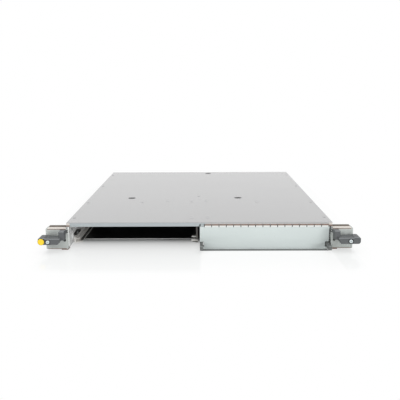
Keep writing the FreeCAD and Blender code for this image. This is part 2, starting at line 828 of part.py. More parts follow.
def make_filler():
    """Blank panel folded from one sheet, with lugs and slots for its two latches."""
    x0 = filler_left_x
    x1 = filler_right_x
    t = filler_sheet
    face = block(x0, x1, 0, t, filler_bottom_z, filler_top_z)
    top = block(x0, x1, 0, filler_top_flange, filler_top_z - t, filler_top_z)
    low = block(x0, x1, 0, filler_bottom_flange, filler_bottom_z, filler_bottom_z + t)
    side = block(x0, x0 + t, 0, filler_side_flange, latch_lug_z, filler_top_z)
    far_side = block(x1 - t, x1, 0, filler_side_flange, latch_lug_z, filler_top_z)
    lug_back = filler_side_flange
    lug_front = lug_back - latch_lug_length
    lug = block(x0, x0 + t + latch_lug_width, lug_front, lug_back, latch_lug_z,
                latch_lug_z + latch_lug_sheet)
    far_lug = block(x1 - t - latch_lug_width, x1, lug_front, lug_back, latch_lug_z,
                    latch_lug_z + latch_lug_sheet)
    panel = fuse([face, top, low, side, far_side, lug, far_lug])
    slot_width = latch_inset + latch_width + latch_slot_side
    slot_low = latch_bottom_z - latch_slot_gap
    slot_high = latch_top_z + latch_slot_gap
    panel = panel.makeFillet(filler_bend_radius, edges_where(
        panel, lambda p: near(p.y, 0) and (near(p.z, filler_top_z) or near(p.z, filler_bottom_z))))
    for start, end in ((x0, x0 + slot_width), (x1 - slot_width, x1)):
        panel = panel.cut(block(start, end, 0, t, slot_low, slot_high))
    for x in latch_pin_xs():
        hole = rod(latch_pin_radius + press_clearance, (x, latch_pin_y, filler_bottom_z), UP,
                   latch_lug_z + latch_lug_sheet - filler_bottom_z)
        panel = panel.cut(hole)
    return panel.removeSplitter()


def latch_pin_xs():
    """Where the two latch pins stand across the filler panel."""
    inset = latch_inset + latch_width / 2
    return (filler_left_x + inset, filler_right_x - inset)


def make_latch(middle):
    """Latch lever with a ribbed finger tab in front, a hub on its pin and a rear tongue."""
    half = latch_width / 2
    body = block(middle - half, middle + half, latch_front_y, latch_back_y,
                 latch_bottom_z, latch_top_z)
    nose = edges_where(body, lambda p: near(p.y, latch_front_y) and near(p.z, latch_top_z))
    nose += edges_where(body, lambda p: near(p.y, latch_front_y) and near(p.z, latch_bottom_z))
    body = body.makeFillet(latch_nose_round, nose)
    tongue = block(middle - latch_tongue_width / 2, middle + latch_tongue_width / 2,
                   latch_back_y, latch_back_y + latch_tongue_length, latch_bottom_z, latch_top_z)
    hub_low = filler_bottom_z + filler_sheet + latch_hub_gap
    hub_high = latch_lug_z - latch_hub_gap
    hub = rod(latch_hub_radius, (middle, latch_pin_y, hub_low), UP, hub_high - hub_low)
    latch = fuse([body, tongue, hub])
    for step in range(latch_groove_count):
        start = latch_front_y + latch_groove_pitch * (step + 1)
        groove = block(middle - half, middle + half, start, start + latch_groove_width,
                       latch_top_z - latch_groove_depth, latch_top_z)
        latch = latch.cut(groove)
    bore = rod(latch_pin_radius + pin_running_gap, (middle, latch_pin_y, hub_low), UP,
               hub_high - hub_low)
    return latch.cut(bore)


def make_latch_pin(middle):
    """Pin between the panel's bottom flange and its lug."""
    return rod(latch_pin_radius, (middle, latch_pin_y, filler_bottom_z), UP,
               latch_lug_z + latch_lug_sheet - filler_bottom_z)


def make_runner(web_x, tip_x, side):
    """Welded rail of the filler panel that slides in a guide. Side is where the web lies."""
    upright_near = tip_x - side * runner_gap
    upright_far = upright_near - side * runner_sheet
    x0 = min(upright_near, upright_far)
    x1 = max(upright_near, upright_far)
    top = runner_bottom_z + runner_height
    upright = block(x0, x1, filler_sheet, filler_sheet + runner_length, runner_bottom_z, top)
    tongue_end = web_x - side * runner_web_gap
    t0 = min(tongue_end, upright_far)
    t1 = max(tongue_end, upright_far)
    tongue_front = latch_back_y + latch_tongue_length + runner_tongue_gap
    tongue = block(t0, t1, tongue_front, filler_sheet + runner_length, runner_bottom_z,
                   runner_bottom_z + runner_tongue_sheet)
    foot_end = upright_far - side * runner_foot
    f0 = min(foot_end, upright_near)
    f1 = max(foot_end, upright_near)
    foot = block(f0, f1, filler_sheet, filler_sheet + runner_sheet, runner_bottom_z, top)
    return fuse([upright, tongue, foot])


def make_filler_strip():
    """Row of arched spring fingers on the filler panel's top flange."""
    span = strip_end_width + strip_pitch * strip_count
    x0 = strip_inset
    t = strip_thickness
    half = strip_depth / 2
    middle_y = t + half

    def arch(reach, rise):
        points = []
        for step in range(strip_folds + 1):
            turn = math.pi * step / strip_folds
            points.append((x0, middle_y - reach * math.cos(turn), filler_top_z + rise * math.sin(turn)))
        return points

    outer = arch(half, strip_height)
    inner = arch(half - t, strip_height - t)
    strip = prism(outer + inner[::-1], (span, 0, 0))
    for step in range(strip_count):
        middle_x = x0 + strip_end_width + step * strip_pitch
        slot = block(middle_x - strip_slot / 2, middle_x + strip_slot / 2, 0,
                     t + strip_depth - strip_band, filler_top_z, filler_top_z + strip_height + t)
        strip = strip.cut(slot)
    return strip


def make_lock_plate():
    """Flat backing plate of a module lock on the inside of the right wall."""
    x1 = wall_in_x
    x0 = x1 - lock_plate_sheet
    corner = (lock_plate_high_z - lock_plate_low_z) / 2
    outline = [(x0, lock_plate_front_y, lock_plate_low_z),
               (x0, lock_plate_front_y, lock_plate_high_z - corner / 2),
               (x0, lock_plate_front_y + corner / 2, lock_plate_high_z),
               (x0, lock_plate_back_y - corner * 2, lock_plate_high_z),
               (x0, lock_plate_back_y, lock_plate_low_z + corner / 2),
               (x0, lock_plate_back_y, lock_plate_low_z)]
    plate = prism(outline, (lock_plate_sheet, 0, 0))
    hole = rod(lock_pin_radius + press_clearance, (x0, lock_pivot_y, lock_pivot_z), RIGHT,
               lock_plate_sheet)
    return plate.cut(hole)


def make_lock_lever():
    """Rocking lever of a module lock, tapered from its hub to a front and a rear arm."""
    x1 = wall_in_x - lock_plate_sheet - lock_lever_gap
    x0 = x1 - lock_lever_sheet
    h = lock_lever_half
    r = lock_hub_radius
    outline = [(x0, lock_lever_front_y, lock_lever_front_z - h),
               (x0, lock_pivot_y, lock_pivot_z - r),
               (x0, lock_lever_back_y, lock_lever_tip_z - h),
               (x0, lock_lever_back_y, lock_lever_tip_z + h),
               (x0, lock_pivot_y, lock_pivot_z + r),
               (x0, lock_lever_front_y, lock_lever_front_z + h)]
    arm = prism(outline, (lock_lever_sheet, 0, 0))
    hub = rod(r, (x0, lock_pivot_y, lock_pivot_z), RIGHT, lock_lever_sheet)
    bore = rod(lock_pin_radius + pin_running_gap, (x0, lock_pivot_y, lock_pivot_z), RIGHT,
               lock_lever_sheet)
    return fuse([arm, hub]).cut(bore)


def make_lock_pin():
    """Headed pin that holds a lock lever to the wall."""
    x1 = wall_out_x
    x0 = wall_in_x - lock_plate_sheet - 2 * lock_lever_gap - lock_lever_sheet
    pin = rod(lock_pin_radius, (x0, lock_pivot_y, lock_pivot_z), RIGHT, x1 - x0)
    head = rod(lock_pin_head_radius, (x0 - lock_pin_head_height, lock_pivot_y, lock_pivot_z),
               RIGHT, lock_pin_head_height)
    return fuse([pin, head])


def board_fix_places():
    """Screwed points of the main board."""
    return [(x, y) for x in board_fix_xs for y in board_fix_ys]


def make_standoffs():
    """Hexagonal standoffs between the pan and the board."""
    posts = []
    for x, y in board_fix_places():
        post = hexagon(x, y, standoff_radius, pan_sheet, standoff_height)
        hole = rod(board_screw_radius + press_clearance, (x, y, pan_sheet), UP, standoff_height)
        posts.append(post.cut(hole))
    return group(posts)


def make_board():
    """Main circuit board behind the bays."""
    board = block(-board_half, board_half, bay_depth + board_front_gap, cover_length - board_rear_gap,
                  board_low_z, board_top_z)
    for x, y in dish_places:
        hole = rod(cover_post_radius + board_post_gap, (x, y, board_low_z), UP, board_sheet)
        board = board.cut(hole)
    for x, y in board_fix_places():
        hole = rod(board_screw_radius + press_clearance, (x, y, board_low_z), UP, board_sheet)
        board = board.cut(hole)
    return board


def make_board_screws():
    """Screws that hold the board on its standoffs."""
    screws = []
    for x, y in board_fix_places():
        head = hexagon(x, y, board_screw_head_radius, board_top_z, board_screw_head_height)
        depth = board_sheet + standoff_height / 2
        shank = rod(board_screw_radius, (x, y, board_top_z - depth), UP, depth)
        screws.append(head.fuse(shank).removeSplitter())
    return group(screws)


def make_processors():
    """Two packet processors under the heat sinks."""
    half = processor_side / 2
    chips = []
    for x, y in processor_places:
        chips.append(block(x - half, x + half, y - half, y + half, board_top_z,
                           board_top_z + processor_height))
    return group(chips)


def make_heat_sink(place):
    """Finned heat sink on a processor."""
    x, y = place
    low = board_top_z + processor_height
    x0 = x - sink_width / 2
    y0 = y - sink_length / 2
    pieces = [block(x0, x0 + sink_width, y0, y0 + sink_length, low, low + sink_base)]
    pitch = (sink_width - sink_fin_sheet) / (sink_fins - 1)
    for step in range(sink_fins):
        fin_x = x0 + step * pitch
        pieces.append(block(fin_x, fin_x + sink_fin_sheet, y0, y0 + sink_length, low,
                            low + sink_height))
    return fuse(pieces)


def make_memory():
    """Upright memory cards beside the processors."""
    x = memory_x
    y = bay_depth + memory_setback
    cards = []
    for step in range(memory_count):
        x0 = x + (step - memory_count / 2) * memory_pitch
        cards.append(block(x0, x0 + memory_sheet, y - memory_length / 2, y + memory_length / 2,
                           board_top_z, board_top_z + memory_height))
    return group(cards)


def make_converters():
    """Power converter bricks with grooved tops."""
    x = converter_x
    y = cover_length - converter_rear_inset
    bricks = []
    for step in range(converter_count):
        x0 = x + step * converter_pitch - converter_width / 2
        y0 = y - converter_length / 2
        top = board_top_z + converter_height
        brick = block(x0, x0 + converter_width, y0, y0 + converter_length, board_top_z, top)
        pitch = converter_width / (converter_groove_count + 1)
        for groove in range(converter_groove_count):
            gx = x0 + (groove + 1) * pitch
            brick = brick.cut(block(gx, gx + converter_groove, y0, y0 + converter_length,
                                    top - converter_groove, top))
        bricks.append(brick)
    return group(bricks)


def make_bay_connector():
    """Right bay connector: a shell on the board's front edge, open towards the bay."""
    half = bay_connector_width / 2
    w = bay_connector_wall
    low = board_top_z
    high = low + bay_connector_height
    shell = block(bay_centre_x - half, bay_centre_x + half, bay_connector_front_y,
                  bay_connector_back_y, low, high)
    recess = block(bay_centre_x - half + w, bay_centre_x + half - w, bay_connector_front_y,
                   bay_connector_front_y + bay_connector_recess, low + w, high - w)
    tongue_z = (low + high) / 2
    tongue = block(bay_centre_x - half + 2 * w, bay_centre_x + half - 2 * w,
                   bay_connector_front_y + w, bay_connector_front_y + bay_connector_recess,
                   tongue_z - w / 2, tongue_z + w / 2)
    return shell.cut(recess).fuse(tongue).removeSplitter()


def make_rear_connectors():
    """Backplane connector housings with rows of contact slots in their rear faces."""
    housings = []
    half = rear_connector_width / 2
    rows = int((rear_connector_width - rear_edge_wall) / rear_slot_pitch)
    for x in rear_connector_xs:
        low = board_top_z
        high = low + rear_connector_height
        housing = block(x - half, x + half, rear_connector_front_y, cover_length, low, high)
        start = x - (rows - 1) * rear_slot_pitch / 2
        for row in range(rows):
            middle = start + row * rear_slot_pitch
            housing = housing.cut(block(middle - rear_slot_width / 2, middle + rear_slot_width / 2,
                                        cover_length - rear_slot_depth, cover_length,
                                        low + rear_edge_wall, high - rear_edge_wall))
        housings.append(housing)
    return group(housings)


def make_power_connector():
    """Power connector: a shroud with upright blades."""
    half = power_connector_width / 2
    low = board_top_z
    high = low + rear_connector_height
    s = power_shroud
    x = power_connector_x
    shell = block(x - half, x + half, rear_connector_front_y, cover_length, low, high)
    depth = power_blade_reach + power_shroud
    recess = block(x - half + s, x + half - s, cover_length - depth, cover_length, low + s, high - s)
    housing = shell.cut(recess)
    pitch = (power_connector_width - 2 * s) / (power_blade_count + 1)
    for step in range(power_blade_count):
        middle = x - half + s + (step + 1) * pitch
        blade = block(middle - power_blade_sheet / 2, middle + power_blade_sheet / 2,
                      cover_length - depth, cover_length - s, low + 2 * s, high - 2 * s)
        housing = housing.fuse(blade)
    return housing.removeSplitter()


def make_guide_socket():
    """Right alignment socket: a block with a blind bore open to the rear."""
    half = guide_socket_width / 2
    low = board_top_z
    socket = block(guide_socket_x - half, guide_socket_x + half, rear_connector_front_y,
                   cover_length, low, low + guide_socket_height)
    mouth = cover_length
    bore = rod(guide_socket_bore, (guide_socket_x, mouth - guide_socket_depth,
                                   low + guide_socket_rise), BACK, guide_socket_depth)
    return socket.cut(bore)


def make_all():
    """Fill the table of nodes."""
    nodes["cover_plate"] = make_cover()
    nodes["pressed_studs"] = make_studs()
    nodes["cover_side_rivets"] = make_side_rivets()
    nodes["cover_screws"] = make_cover_screws()
    nodes["cover_posts"] = make_cover_posts()
    nodes["bottom_pan"] = make_pan()
    nodes["insulator_films"] = make_films()
    nodes["bay_bulkhead"] = make_bulkhead()
    wall = make_side_wall()
    nodes["side_wall_left"] = mirrored(wall)
    nodes["side_wall_right"] = wall.cut(block(wall_in_x, wall_out_x, wall_front_y,
                                              wall_front_y + filled_bay_setback, 0, ceiling_z))
    pair("divider_guide", make_inner_guide())
    pair("wall_guide", make_outer_guide())
    pair("ejector_bracket", make_bracket())
    pair("bracket_rivets", make_bracket_rivets())
    pair("top_gasket", make_top_gasket())
    pair("foot_gasket", make_foot_gasket())
    strip = make_edge_strip()
    nodes["edge_finger_strip_left"] = mirrored(strip)
    nodes["edge_finger_strip_right"] = strip.translated(BACK * filled_bay_setback)
    pair("handle_pin", make_pivot_pin())
    pair("captive_screw", make_captive_screw())
    handle = make_handle()
    cap = make_handle_cap()
    nodes["ejector_handle_right"] = handle
    nodes["ejector_handle_left"] = mirrored(handle).cut(
        rod(cap_radius, (-cap_x, handle_front_y, cap_z), BACK, cap_seat_depth))
    nodes["handle_cap"] = cap
    nodes["filler_panel"] = make_filler()
    left_pin, right_pin = latch_pin_xs()
    nodes["filler_latch_left"] = make_latch(left_pin)
    nodes["filler_latch_right"] = make_latch(right_pin)
    nodes["filler_latch_pin_left"] = make_latch_pin(left_pin)
    nodes["filler_latch_pin_right"] = make_latch_pin(right_pin)
    nodes["filler_runner_left"] = make_runner(guide_web_x, guide_web_x + guide_lower_reach, -1)
    nodes["filler_runner_right"] = make_runner(outer_web_x, outer_web_x - outer_lower_reach, 1)
    nodes["filler_finger_strip"] = make_filler_strip()
    pair("module_lock_plate", make_lock_plate())
    pair("module_lock_lever", make_lock_lever())
    pair("module_lock_pin", make_lock_pin())
    nodes["board_standoffs"] = make_standoffs()
    nodes["main_board"] = make_board()
    nodes["board_screws"] = make_board_screws()
    nodes["packet_processors"] = make_processors()
    nodes["heat_sink_left"] = make_heat_sink(processor_places[0])
    nodes["heat_sink_right"] = make_heat_sink(processor_places[1])
    nodes["memory_cards"] = make_memory()
    nodes["power_converters"] = make_converters()
    pair("bay_connector", make_bay_connector())
    nodes["backplane_connectors"] = make_rear_connectors()
    nodes["power_connector"] = make_power_connector()
    pair("guide_socket", make_guide_socket())


make_all()
os.makedirs("parts", exist_ok=True)
for name, shape in nodes.items():
    shape.translate(FreeCAD.Vector(0, -origin_y, 0))
    shape.exportStep("parts/" + name + ".step")
print("nodes", len(nodes), "origin shift", round(origin_y, 3))
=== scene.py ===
import json
import math

import bmesh
import bpy
from mathutils import Matrix, Vector


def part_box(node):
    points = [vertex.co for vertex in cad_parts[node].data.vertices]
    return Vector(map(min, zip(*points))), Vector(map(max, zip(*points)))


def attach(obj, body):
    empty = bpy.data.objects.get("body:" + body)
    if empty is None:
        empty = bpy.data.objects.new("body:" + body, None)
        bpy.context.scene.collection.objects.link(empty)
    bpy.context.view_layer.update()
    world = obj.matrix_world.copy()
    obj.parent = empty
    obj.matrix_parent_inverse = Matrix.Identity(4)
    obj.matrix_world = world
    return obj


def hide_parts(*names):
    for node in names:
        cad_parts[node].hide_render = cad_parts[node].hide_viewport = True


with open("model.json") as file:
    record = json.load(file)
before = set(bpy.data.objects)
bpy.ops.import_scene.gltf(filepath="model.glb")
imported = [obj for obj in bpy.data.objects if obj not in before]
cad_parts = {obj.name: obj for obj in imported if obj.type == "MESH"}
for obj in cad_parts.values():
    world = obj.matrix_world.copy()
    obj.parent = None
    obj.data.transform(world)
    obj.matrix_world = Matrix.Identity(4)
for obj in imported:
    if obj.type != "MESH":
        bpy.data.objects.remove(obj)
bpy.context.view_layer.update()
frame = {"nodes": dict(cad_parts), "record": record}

bl_info = {
    "name": "Switch line card",
    "version": (1, 0, 0),
    "blender": (4, 5, 0),
    "location": "View3D > Sidebar > Line card",
    "description": "Dresses the line card with its moulded, sprung and painted pieces",
    "category": "Object",
}

MM = 0.001
TOUCH = 1e-6  # metres within which a point counts as at a level
SIDES = ("left", "right")
SIGN = {"left": -1.0, "right": 1.0}
WHITE = (1.0, 1.0, 1.0, 1.0)
BLACK = (0.0, 0.0, 0.0, 1.0)

# How far the top gaskets swell, the X over which the painted shade on the cover's lip turns into
# that of the short lip, and the length of the tape on the cover's front corners, all in millimetres.
GASKET_SWELL = 0.5
SHORT_LIP_START = (6.0, 8.0)
CORNER_TAPE = 3.8

# The camera's sensor in millimetres, and its sideways shift as a share of that.
SENSOR_WIDTH = 36.0
LENS_SHIFT = -0.00275

# The floor: its size in metres, how dark its painted shadow is under the card's edge and under the
# filler panel and how far that reaches in millimetres, and how it turns white over its fade, plainly
# and in the zones of X that keep a painted reflection of the card.
PAPER_SIZE = 24.0
CARD_SHADE, CARD_REACH = 0.72, 10.0
FOOT_SHADE, FOOT_GLOW, FOOT_REACH = 0.1, 0.05, 2.5
SIDE_STRETCH = 2.5
CLEAR_STEPS = ((0.06, 0.25), (0.12, 0.47), (0.18, 0.6), (0.25, 0.7), (0.31, 0.75), (0.62, 0.8),
               (0.8, 0.9))
PAINTED_REFLECTION_STEPS = ((0.06, 0.22), (0.12, 0.42), (0.18, 0.54), (0.25, 0.58), (0.44, 0.56), (0.71, 0.65),
             (0.85, 0.73))
PAINTED_REFLECTION_ZONES = ((-178.0, -174.0, 0.0, 3.0), (150.0, 153.0, 174.0, 178.0))


# Sizes and colours
def number(name, description, default, unit="NONE"):
    """A number from 0 up that the user can change."""
    return bpy.props.FloatProperty(name=name, description=description, default=default, min=0.0,
                                   unit=unit)


def degrees(name, description, default):
    """An angle that the user can change."""
    return bpy.props.FloatProperty(name=name, description=description, subtype="ANGLE",
                                   default=math.radians(default))


def millimetres(name, description, default, least=0.0):
    """A length that the user can change, kept in metres."""
    return bpy.props.FloatProperty(name=name, description=description, default=default * MM,
                                   min=least * MM, unit="LENGTH", precision=5)


def colour(name, description, red, green, blue):
    """A colour that the user can change, given as it shows on the screen."""
    return bpy.props.FloatVectorProperty(name=name, description=description, size=3, min=0.0,
                                         max=1.0, subtype="COLOR",
                                         default=[linear(v) for v in (red, green, blue)])


def linear(value):
    """A screen value from 0 to 255 as a linear one from 0 to 1."""
    share = value / 255.0
    if share <= 0.04045:
        return share / 12.92
    return ((share + 0.055) / 1.055) ** 2.4


class CardStage(bpy.types.PropertyGroup):
    """Camera, lamps and floor."""
    focal: bpy.props.FloatProperty(name="Focal length", default=51.21, min=10.0, unit="CAMERA",
                                   description="Lens of the camera on a 36 mm wide sensor")
    camera_x: millimetres("Camera X", "Camera to the right of the card's middle", 2.10)
    camera_back: millimetres("Camera distance", "Camera in front of the card's middle", 803.05)
    camera_z: millimetres("Camera height", "Camera above the floor", 192.07)
    pitch: degrees("Pitch", "How far the camera looks down", 11.96)
    roll: degrees("Roll", "How far the camera leans over", 0.18)
    floor: colour("Floor", "Paper that the card stands on", 247, 249, 248)
    world_level: number("World level", "Light from all around", 0.62)
    key_power: number("Key lamp", "Broad lamp above the card", 9.0, "POWER")
    side_power: number("Side lamp", "Broad lamp at the right of the card", 6.4, "POWER")
    left_power: number("Left lamp", "Weaker lamp at the left of the card", 2.9, "POWER")
    shade_y: millimetres("Shade Y", "Middle of the floor that keeps its full shade", 30.0)
    shade_half_x: millimetres("Shade width", "Half width of the floor in full shade", 150.0)
    shade_half_y: millimetres("Shade depth", "Half depth of the floor in full shade", 160.0)
    fade: millimetres("Fade length", "How far the floor takes to fade into white", 130.0)
    foot_x: millimetres("Foot shade X", "Middle of the dark line under the filler panel", 75.0)
    foot_y: millimetres("Foot shade Y", "Depth of the dark line under the filler panel", -174.0,
                        -1000.0)
    foot_half_x: millimetres("Foot shade width", "Half length of the dark line", 72.0)
    foot_half_y: millimetres("Foot shade depth", "Half depth of the dark line", 2.8)


class CardFinish(bpy.types.PropertyGroup):
    """Colours of the card's finishes."""
    cover: colour("Cover paint", "Grey paint of the top sheet", 147, 146, 147)
    filler: colour("Filler paint", "Pale paint of the blank filler panel", 206, 213, 212)
    zinc: colour("Zinc sheet", "Plated sheet of the walls", 250, 248, 246)
    bracket: colour("Bracket zinc", "Plated sheet of the handle brackets", 198, 202, 199)
    guide: colour("Guide metal", "Sheet of the module guides", 252, 247, 243)
    bulkhead: colour("Bulkhead", "Black sheet behind the bays", 26, 26, 28)
    film: colour("Film", "Black insulating film on the pan", 16, 16, 17)
    stud: colour("Studs", "Pressed studs in the cover", 186, 187, 188)
    dark_screw: colour("Dark screws", "Blackened screws of the cover", 40, 40, 42)
    lock: colour("Lock steel", "Dark steel of the module locks", 74, 72, 72)
    gasket: colour("Gasket", "Brown conductive cloth strip", 120, 111, 103)
    tape: colour("Tape", "Tan backing tape of the gaskets", 244, 236, 229)
    foot: colour("Foot cloth", "Reddish cloth under the brackets", 156, 134, 124)
    finger: colour("Spring fingers", "Bright spring metal", 226, 228, 226)
    handle: colour("Handle", "Dark moulded handle", 88, 90, 92)
    latch: colour("Latch", "Dark moulded finger tab", 100, 102, 101)
    cap: colour("Cap", "Yellow cap of the left handle", 252, 212, 50)
    divider: colour("Divider", "Shaded sheet between the bays", 120, 118, 114)
    # The two lip tints below are painted shade on the front faces of the cover's lip, not paints of their
    # own.
    lip: colour("Cover lip", "Paint on the folded lip, which catches less dust", 166, 173, 176)
    short_lip_shade: colour("Short lip", "Paint on the lip above the filler panel", 180, 178, 177)
    # Painted shade: this black stands in for the shade round the cap, in the screw pockets and the tool
    # holes, and in the gap at the right wall's front edge.
    rim: colour("Dark rims", "Dark rims of the cap and the screws", 34, 34, 35)
    screw: colour("Screw", "Nickel plated screw", 222, 230, 232)
    board: colour("Board", "Green circuit board", 30, 84, 52)
    gold: colour("Contacts", "Gold plated contacts", 214, 176, 96)


class CardDetail(bpy.types.PropertyGroup):
    """Sizes of the small forms."""
    finger_pitch: millimetres("Finger pitch", "Spacing of the fingers over the filler", 8.4)
    finger_gap: millimetres("Finger gap", "Slot between two fingers", 0.85)
    finger_sheet: millimetres("Finger sheet", "Thickness of the spring metal", 0.12)
    edge_pitch: millimetres("Edge finger pitch", "Spacing of the fingers on a wall edge", 2.55)
    # The dark ring round the cap is painted shade.
    cap_rim: millimetres("Cap rim", "Width of the dark rim around the yellow cap", 0.22)
    tool_hole: millimetres("Tool hole", "Radius of the tool hole in each bracket", 1.6)
    mould_round: millimetres("Moulded edge", "Rounding of the moulded edges", 0.45)
    sheet_round: millimetres("Sheet edge", "Rounding of the sheet edges", 0.18)
    latch_round: millimetres("Latch edge", "Rounding of the finger tabs", 0.35)


# Modelling tools, with all lengths in millimetres
def clear_selection():
    """Back to object mode with nothing selected."""
    if bpy.context.mode != "OBJECT":
        bpy.ops.object.mode_set(mode="OBJECT")
    bpy.ops.object.select_all(action="DESELECT")


def only(piece):
    """Select one piece and make it active."""
    clear_selection()
    piece.select_set(True)
    bpy.context.view_layer.objects.active = piece


def settle(piece, name):
    """Name a new piece and put its place, turn and size into its mesh."""
    piece.name = name
    piece.data.name = name
    only(piece)
    bpy.ops.object.transform_apply(location=True, rotation=True, scale=True)
    return piece


def add_block(name, first, second):
    """A block between two opposite corners."""
    clear_selection()
    centre = [(a + b) / 2 * MM for a, b in zip(first, second)]
    size = [abs(b - a) * MM for a, b in zip(first, second)]
    bpy.ops.mesh.primitive_cube_add(size=1.0, location=centre, scale=size)
    return settle(bpy.context.active_object, name)


def add_rod(name, centre, radius, length, axis, sides=40):
    """A round bar along Y or Z."""
    clear_selection()
    turn = (math.pi / 2 if axis == "Y" else 0.0, 0.0, 0.0)
    bpy.ops.mesh.primitive_cylinder_add(vertices=sides, radius=radius * MM, depth=length * MM,
                                        location=[c * MM for c in centre], rotation=turn)
    return settle(bpy.context.active_object, name)


def pick(piece, kind, test):
    """Enter edit mode with just the faces, edges or points that pass the test selected."""
    only(piece)
    bpy.ops.object.mode_set(mode="EDIT")
    bpy.ops.mesh.select_mode(type={"faces": "FACE", "edges": "EDGE", "verts": "VERT"}[kind])
    bpy.ops.mesh.select_all(action="DESELECT")
    shape = bmesh.from_edit_mesh(piece.data)
    for item in getattr(shape, kind):
        if test(item):
            item.select_set(True)
    shape.select_flush_mode()
    bmesh.update_edit_mesh(piece.data)


def done(piece):
    """Leave edit mode."""
    bpy.ops.object.mode_set(mode="OBJECT")
    return piece


def on_axis(axis, test):
    """A test for edges with both ends passing a test of their place on an axis."""
    index = "XYZ".index(axis)
    return lambda edge: all(test(point.co[index]) for point in edge.verts)


def at(axis, level):
    """A test for edges that lie at a level."""
    return on_axis(axis, lambda place: abs(place - level * MM) < TOUCH)


def below(axis, level):
    """A test for edges that lie below a level."""
    return on_axis(axis, lambda place: place < level * MM)


def above(axis, level):
    """A test for edges that lie above a level."""
    return on_axis(axis, lambda place: place > level * MM)


def bevel_edges(piece, test, width, segments=3):
    """Round the edges that pass the test."""
    pick(piece, "edges", test)
    bpy.ops.mesh.bevel(offset=width * MM, offset_type="OFFSET", segments=segments,
                       affect="EDGES", clamp_overlap=True)
    return done(piece)


def sink_front(piece, level, steps):
    """Inset the front face at a level again and again, each time by a width and a depth."""
    pick(piece, "faces", lambda f: abs(f.calc_center_median().y - level * MM) < TOUCH)
    for width, depth in steps:
        bpy.ops.mesh.inset(thickness=width * MM, depth=depth * MM)
    return done(piece)


def apply_modifiers(piece):
    """Apply every modifier of a piece in turn."""
    only(piece)
    for modifier in list(piece.modifiers):
        bpy.ops.object.modifier_apply(modifier=modifier.name)
    return piece


def round_all(piece, width, segments=2, angle=35.0):
    """Round every edge sharper than the angle."""
    bevel = piece.modifiers.new("round", "BEVEL")
    bevel.width = width * MM
    bevel.segments = segments
    bevel.limit_method = "ANGLE"
    bevel.angle_limit = math.radians(angle)
    bevel.use_clamp_overlap = True
    return apply_modifiers(piece)


def carve(piece, tool):
    """Cut a tool's shape out of a piece and delete the tool."""
    cut = piece.modifiers.new("carve", "BOOLEAN")
    cut.operation = "DIFFERENCE"
    cut.solver = "EXACT"
    cut.object = tool
    apply_modifiers(piece)
    bpy.data.objects.remove(tool, do_unlink=True)
    return piece


def ring_of(name, centre, outer, inner, length):
    """A short tube along Y."""
    ring = add_rod(name, centre, outer, length, "Y", 64)
    return carve(ring, add_rod("bore", centre, inner, length + 2.0, "Y", 64))


def join(name, pieces):
    """Join pieces into one object."""
    clear_selection()
    for piece in pieces:
        piece.select_set(True)
    bpy.context.view_layer.objects.active = pieces[0]
    if len(pieces) > 1:
        bpy.ops.object.join()
    return settle(bpy.context.active_object, name)


def smooth(piece, angle):
    """Smooth shading up to an angle."""
    only(piece)
    bpy.ops.object.shade_smooth_by_angle(angle=math.radians(angle))
    return piece


def detail(name):
    """One of the sizes of the small forms."""
    return getattr(bpy.context.scene.card_detail, name) / MM


def box_of(node):
    """The low and high corner of a CAD node's box."""
    low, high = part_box(node)
    return low / MM, high / MM


def inner_outer(side, node):
    """The X of the two sides of a CAD node's box, first the one nearer the card's middle."""
    low, high = box_of(node)
    return (low.x, high.x) if side == "right" else (high.x, low.x)


def body_of_node(node):
    """The name of the body that carries a CAD node."""
    for body, nodes in frame["record"]["behaviour"]["bodies"].items():
        if node in nodes:
            return body
    raise RuntimeError("no body carries " + node)


def slot_of_node(node):
    """The material slot of a CAD node."""
    for row in frame["record"]["subparts"]:
        if row["node"] == node:
            return row["material_slot"]
    raise RuntimeError("no slot for " + node)


def paint(piece, finish):
    """Give a piece one finish and no other."""
    piece.data.materials.clear()
    piece.data.materials.append(FINISHES[finish])


def fit(piece, node, finish=None):
    """Let a finished piece stand for a CAD node, on its body and with its slot."""
    slot = slot_of_node(node)
    paint(piece, finish or slot)
    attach(piece, body_of_node(node))
    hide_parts(node)


def fit_extra(piece, body, slot, finish=None):
    """Let a finished piece that stands for no CAD node ride on a body."""
    paint(piece, finish or slot)
    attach(piece, body)


def cad_copy(node, name):
    """A merged copy of a CAD node's shape, with its flat faces whole again."""
    piece = bpy.data.objects.new(name, frame["nodes"][node].data.copy())
    bpy.context.scene.collection.objects.link(piece)
    piece.data.name = name
    only(piece)
    bpy.ops.object.mode_set(mode="EDIT")
    bpy.ops.mesh.select_all(action="SELECT")
    bpy.ops.mesh.remove_doubles(threshold=TOUCH)
    bpy.ops.mesh.normals_make_consistent(inside=False)
    bpy.ops.mesh.dissolve_limited(angle_limit=math.radians(0.6), delimit={"NORMAL"})
    return done(piece)


def round_node(node, name, width, segments=2, limit=30.0, shading=40.0, finish=None):
    """Fit a copy of a CAD node with every edge sharper than the limit rounded."""
    piece = round_all(cad_copy(node, name), width, segments, limit)
    fit(smooth(piece, shading), node, finish)


# Finishes
FINISHES = {}


def connect(owner, node, inputs):
    """Put numbers, colours or the outputs of other nodes on a node's inputs."""
    for name, value in inputs.items():
        if isinstance(value, bpy.types.NodeSocket):
            owner.node_tree.links.new(value, node.inputs[name])
        else:
            node.inputs[name].default_value = value


def add_node(owner, kind, inputs, **settings):
    """A new node in a material or world, with its settings and inputs."""
    node = owner.node_tree.nodes.new(kind)
    for name, value in settings.items():
        setattr(node, name, value)
    connect(owner, node, inputs)
    return node


def shader_of(finish):
    """The surface shader of a material."""
    return finish.node_tree.nodes["Principled BSDF"]


def surface(finish, inputs):
    """Put numbers, colours or the outputs of nodes on the surface shader."""
    connect(finish, shader_of(finish), inputs)


def new_finish(name, metallic, roughness, specular=0.5):
    """A new material with plain numbers on its shader."""
    finish = bpy.data.materials.new(name)
    finish.use_nodes = True
    surface(finish, {"Metallic": metallic, "Roughness": roughness,
                     "Specular IOR Level": specular})
    FINISHES[name] = finish
    return finish


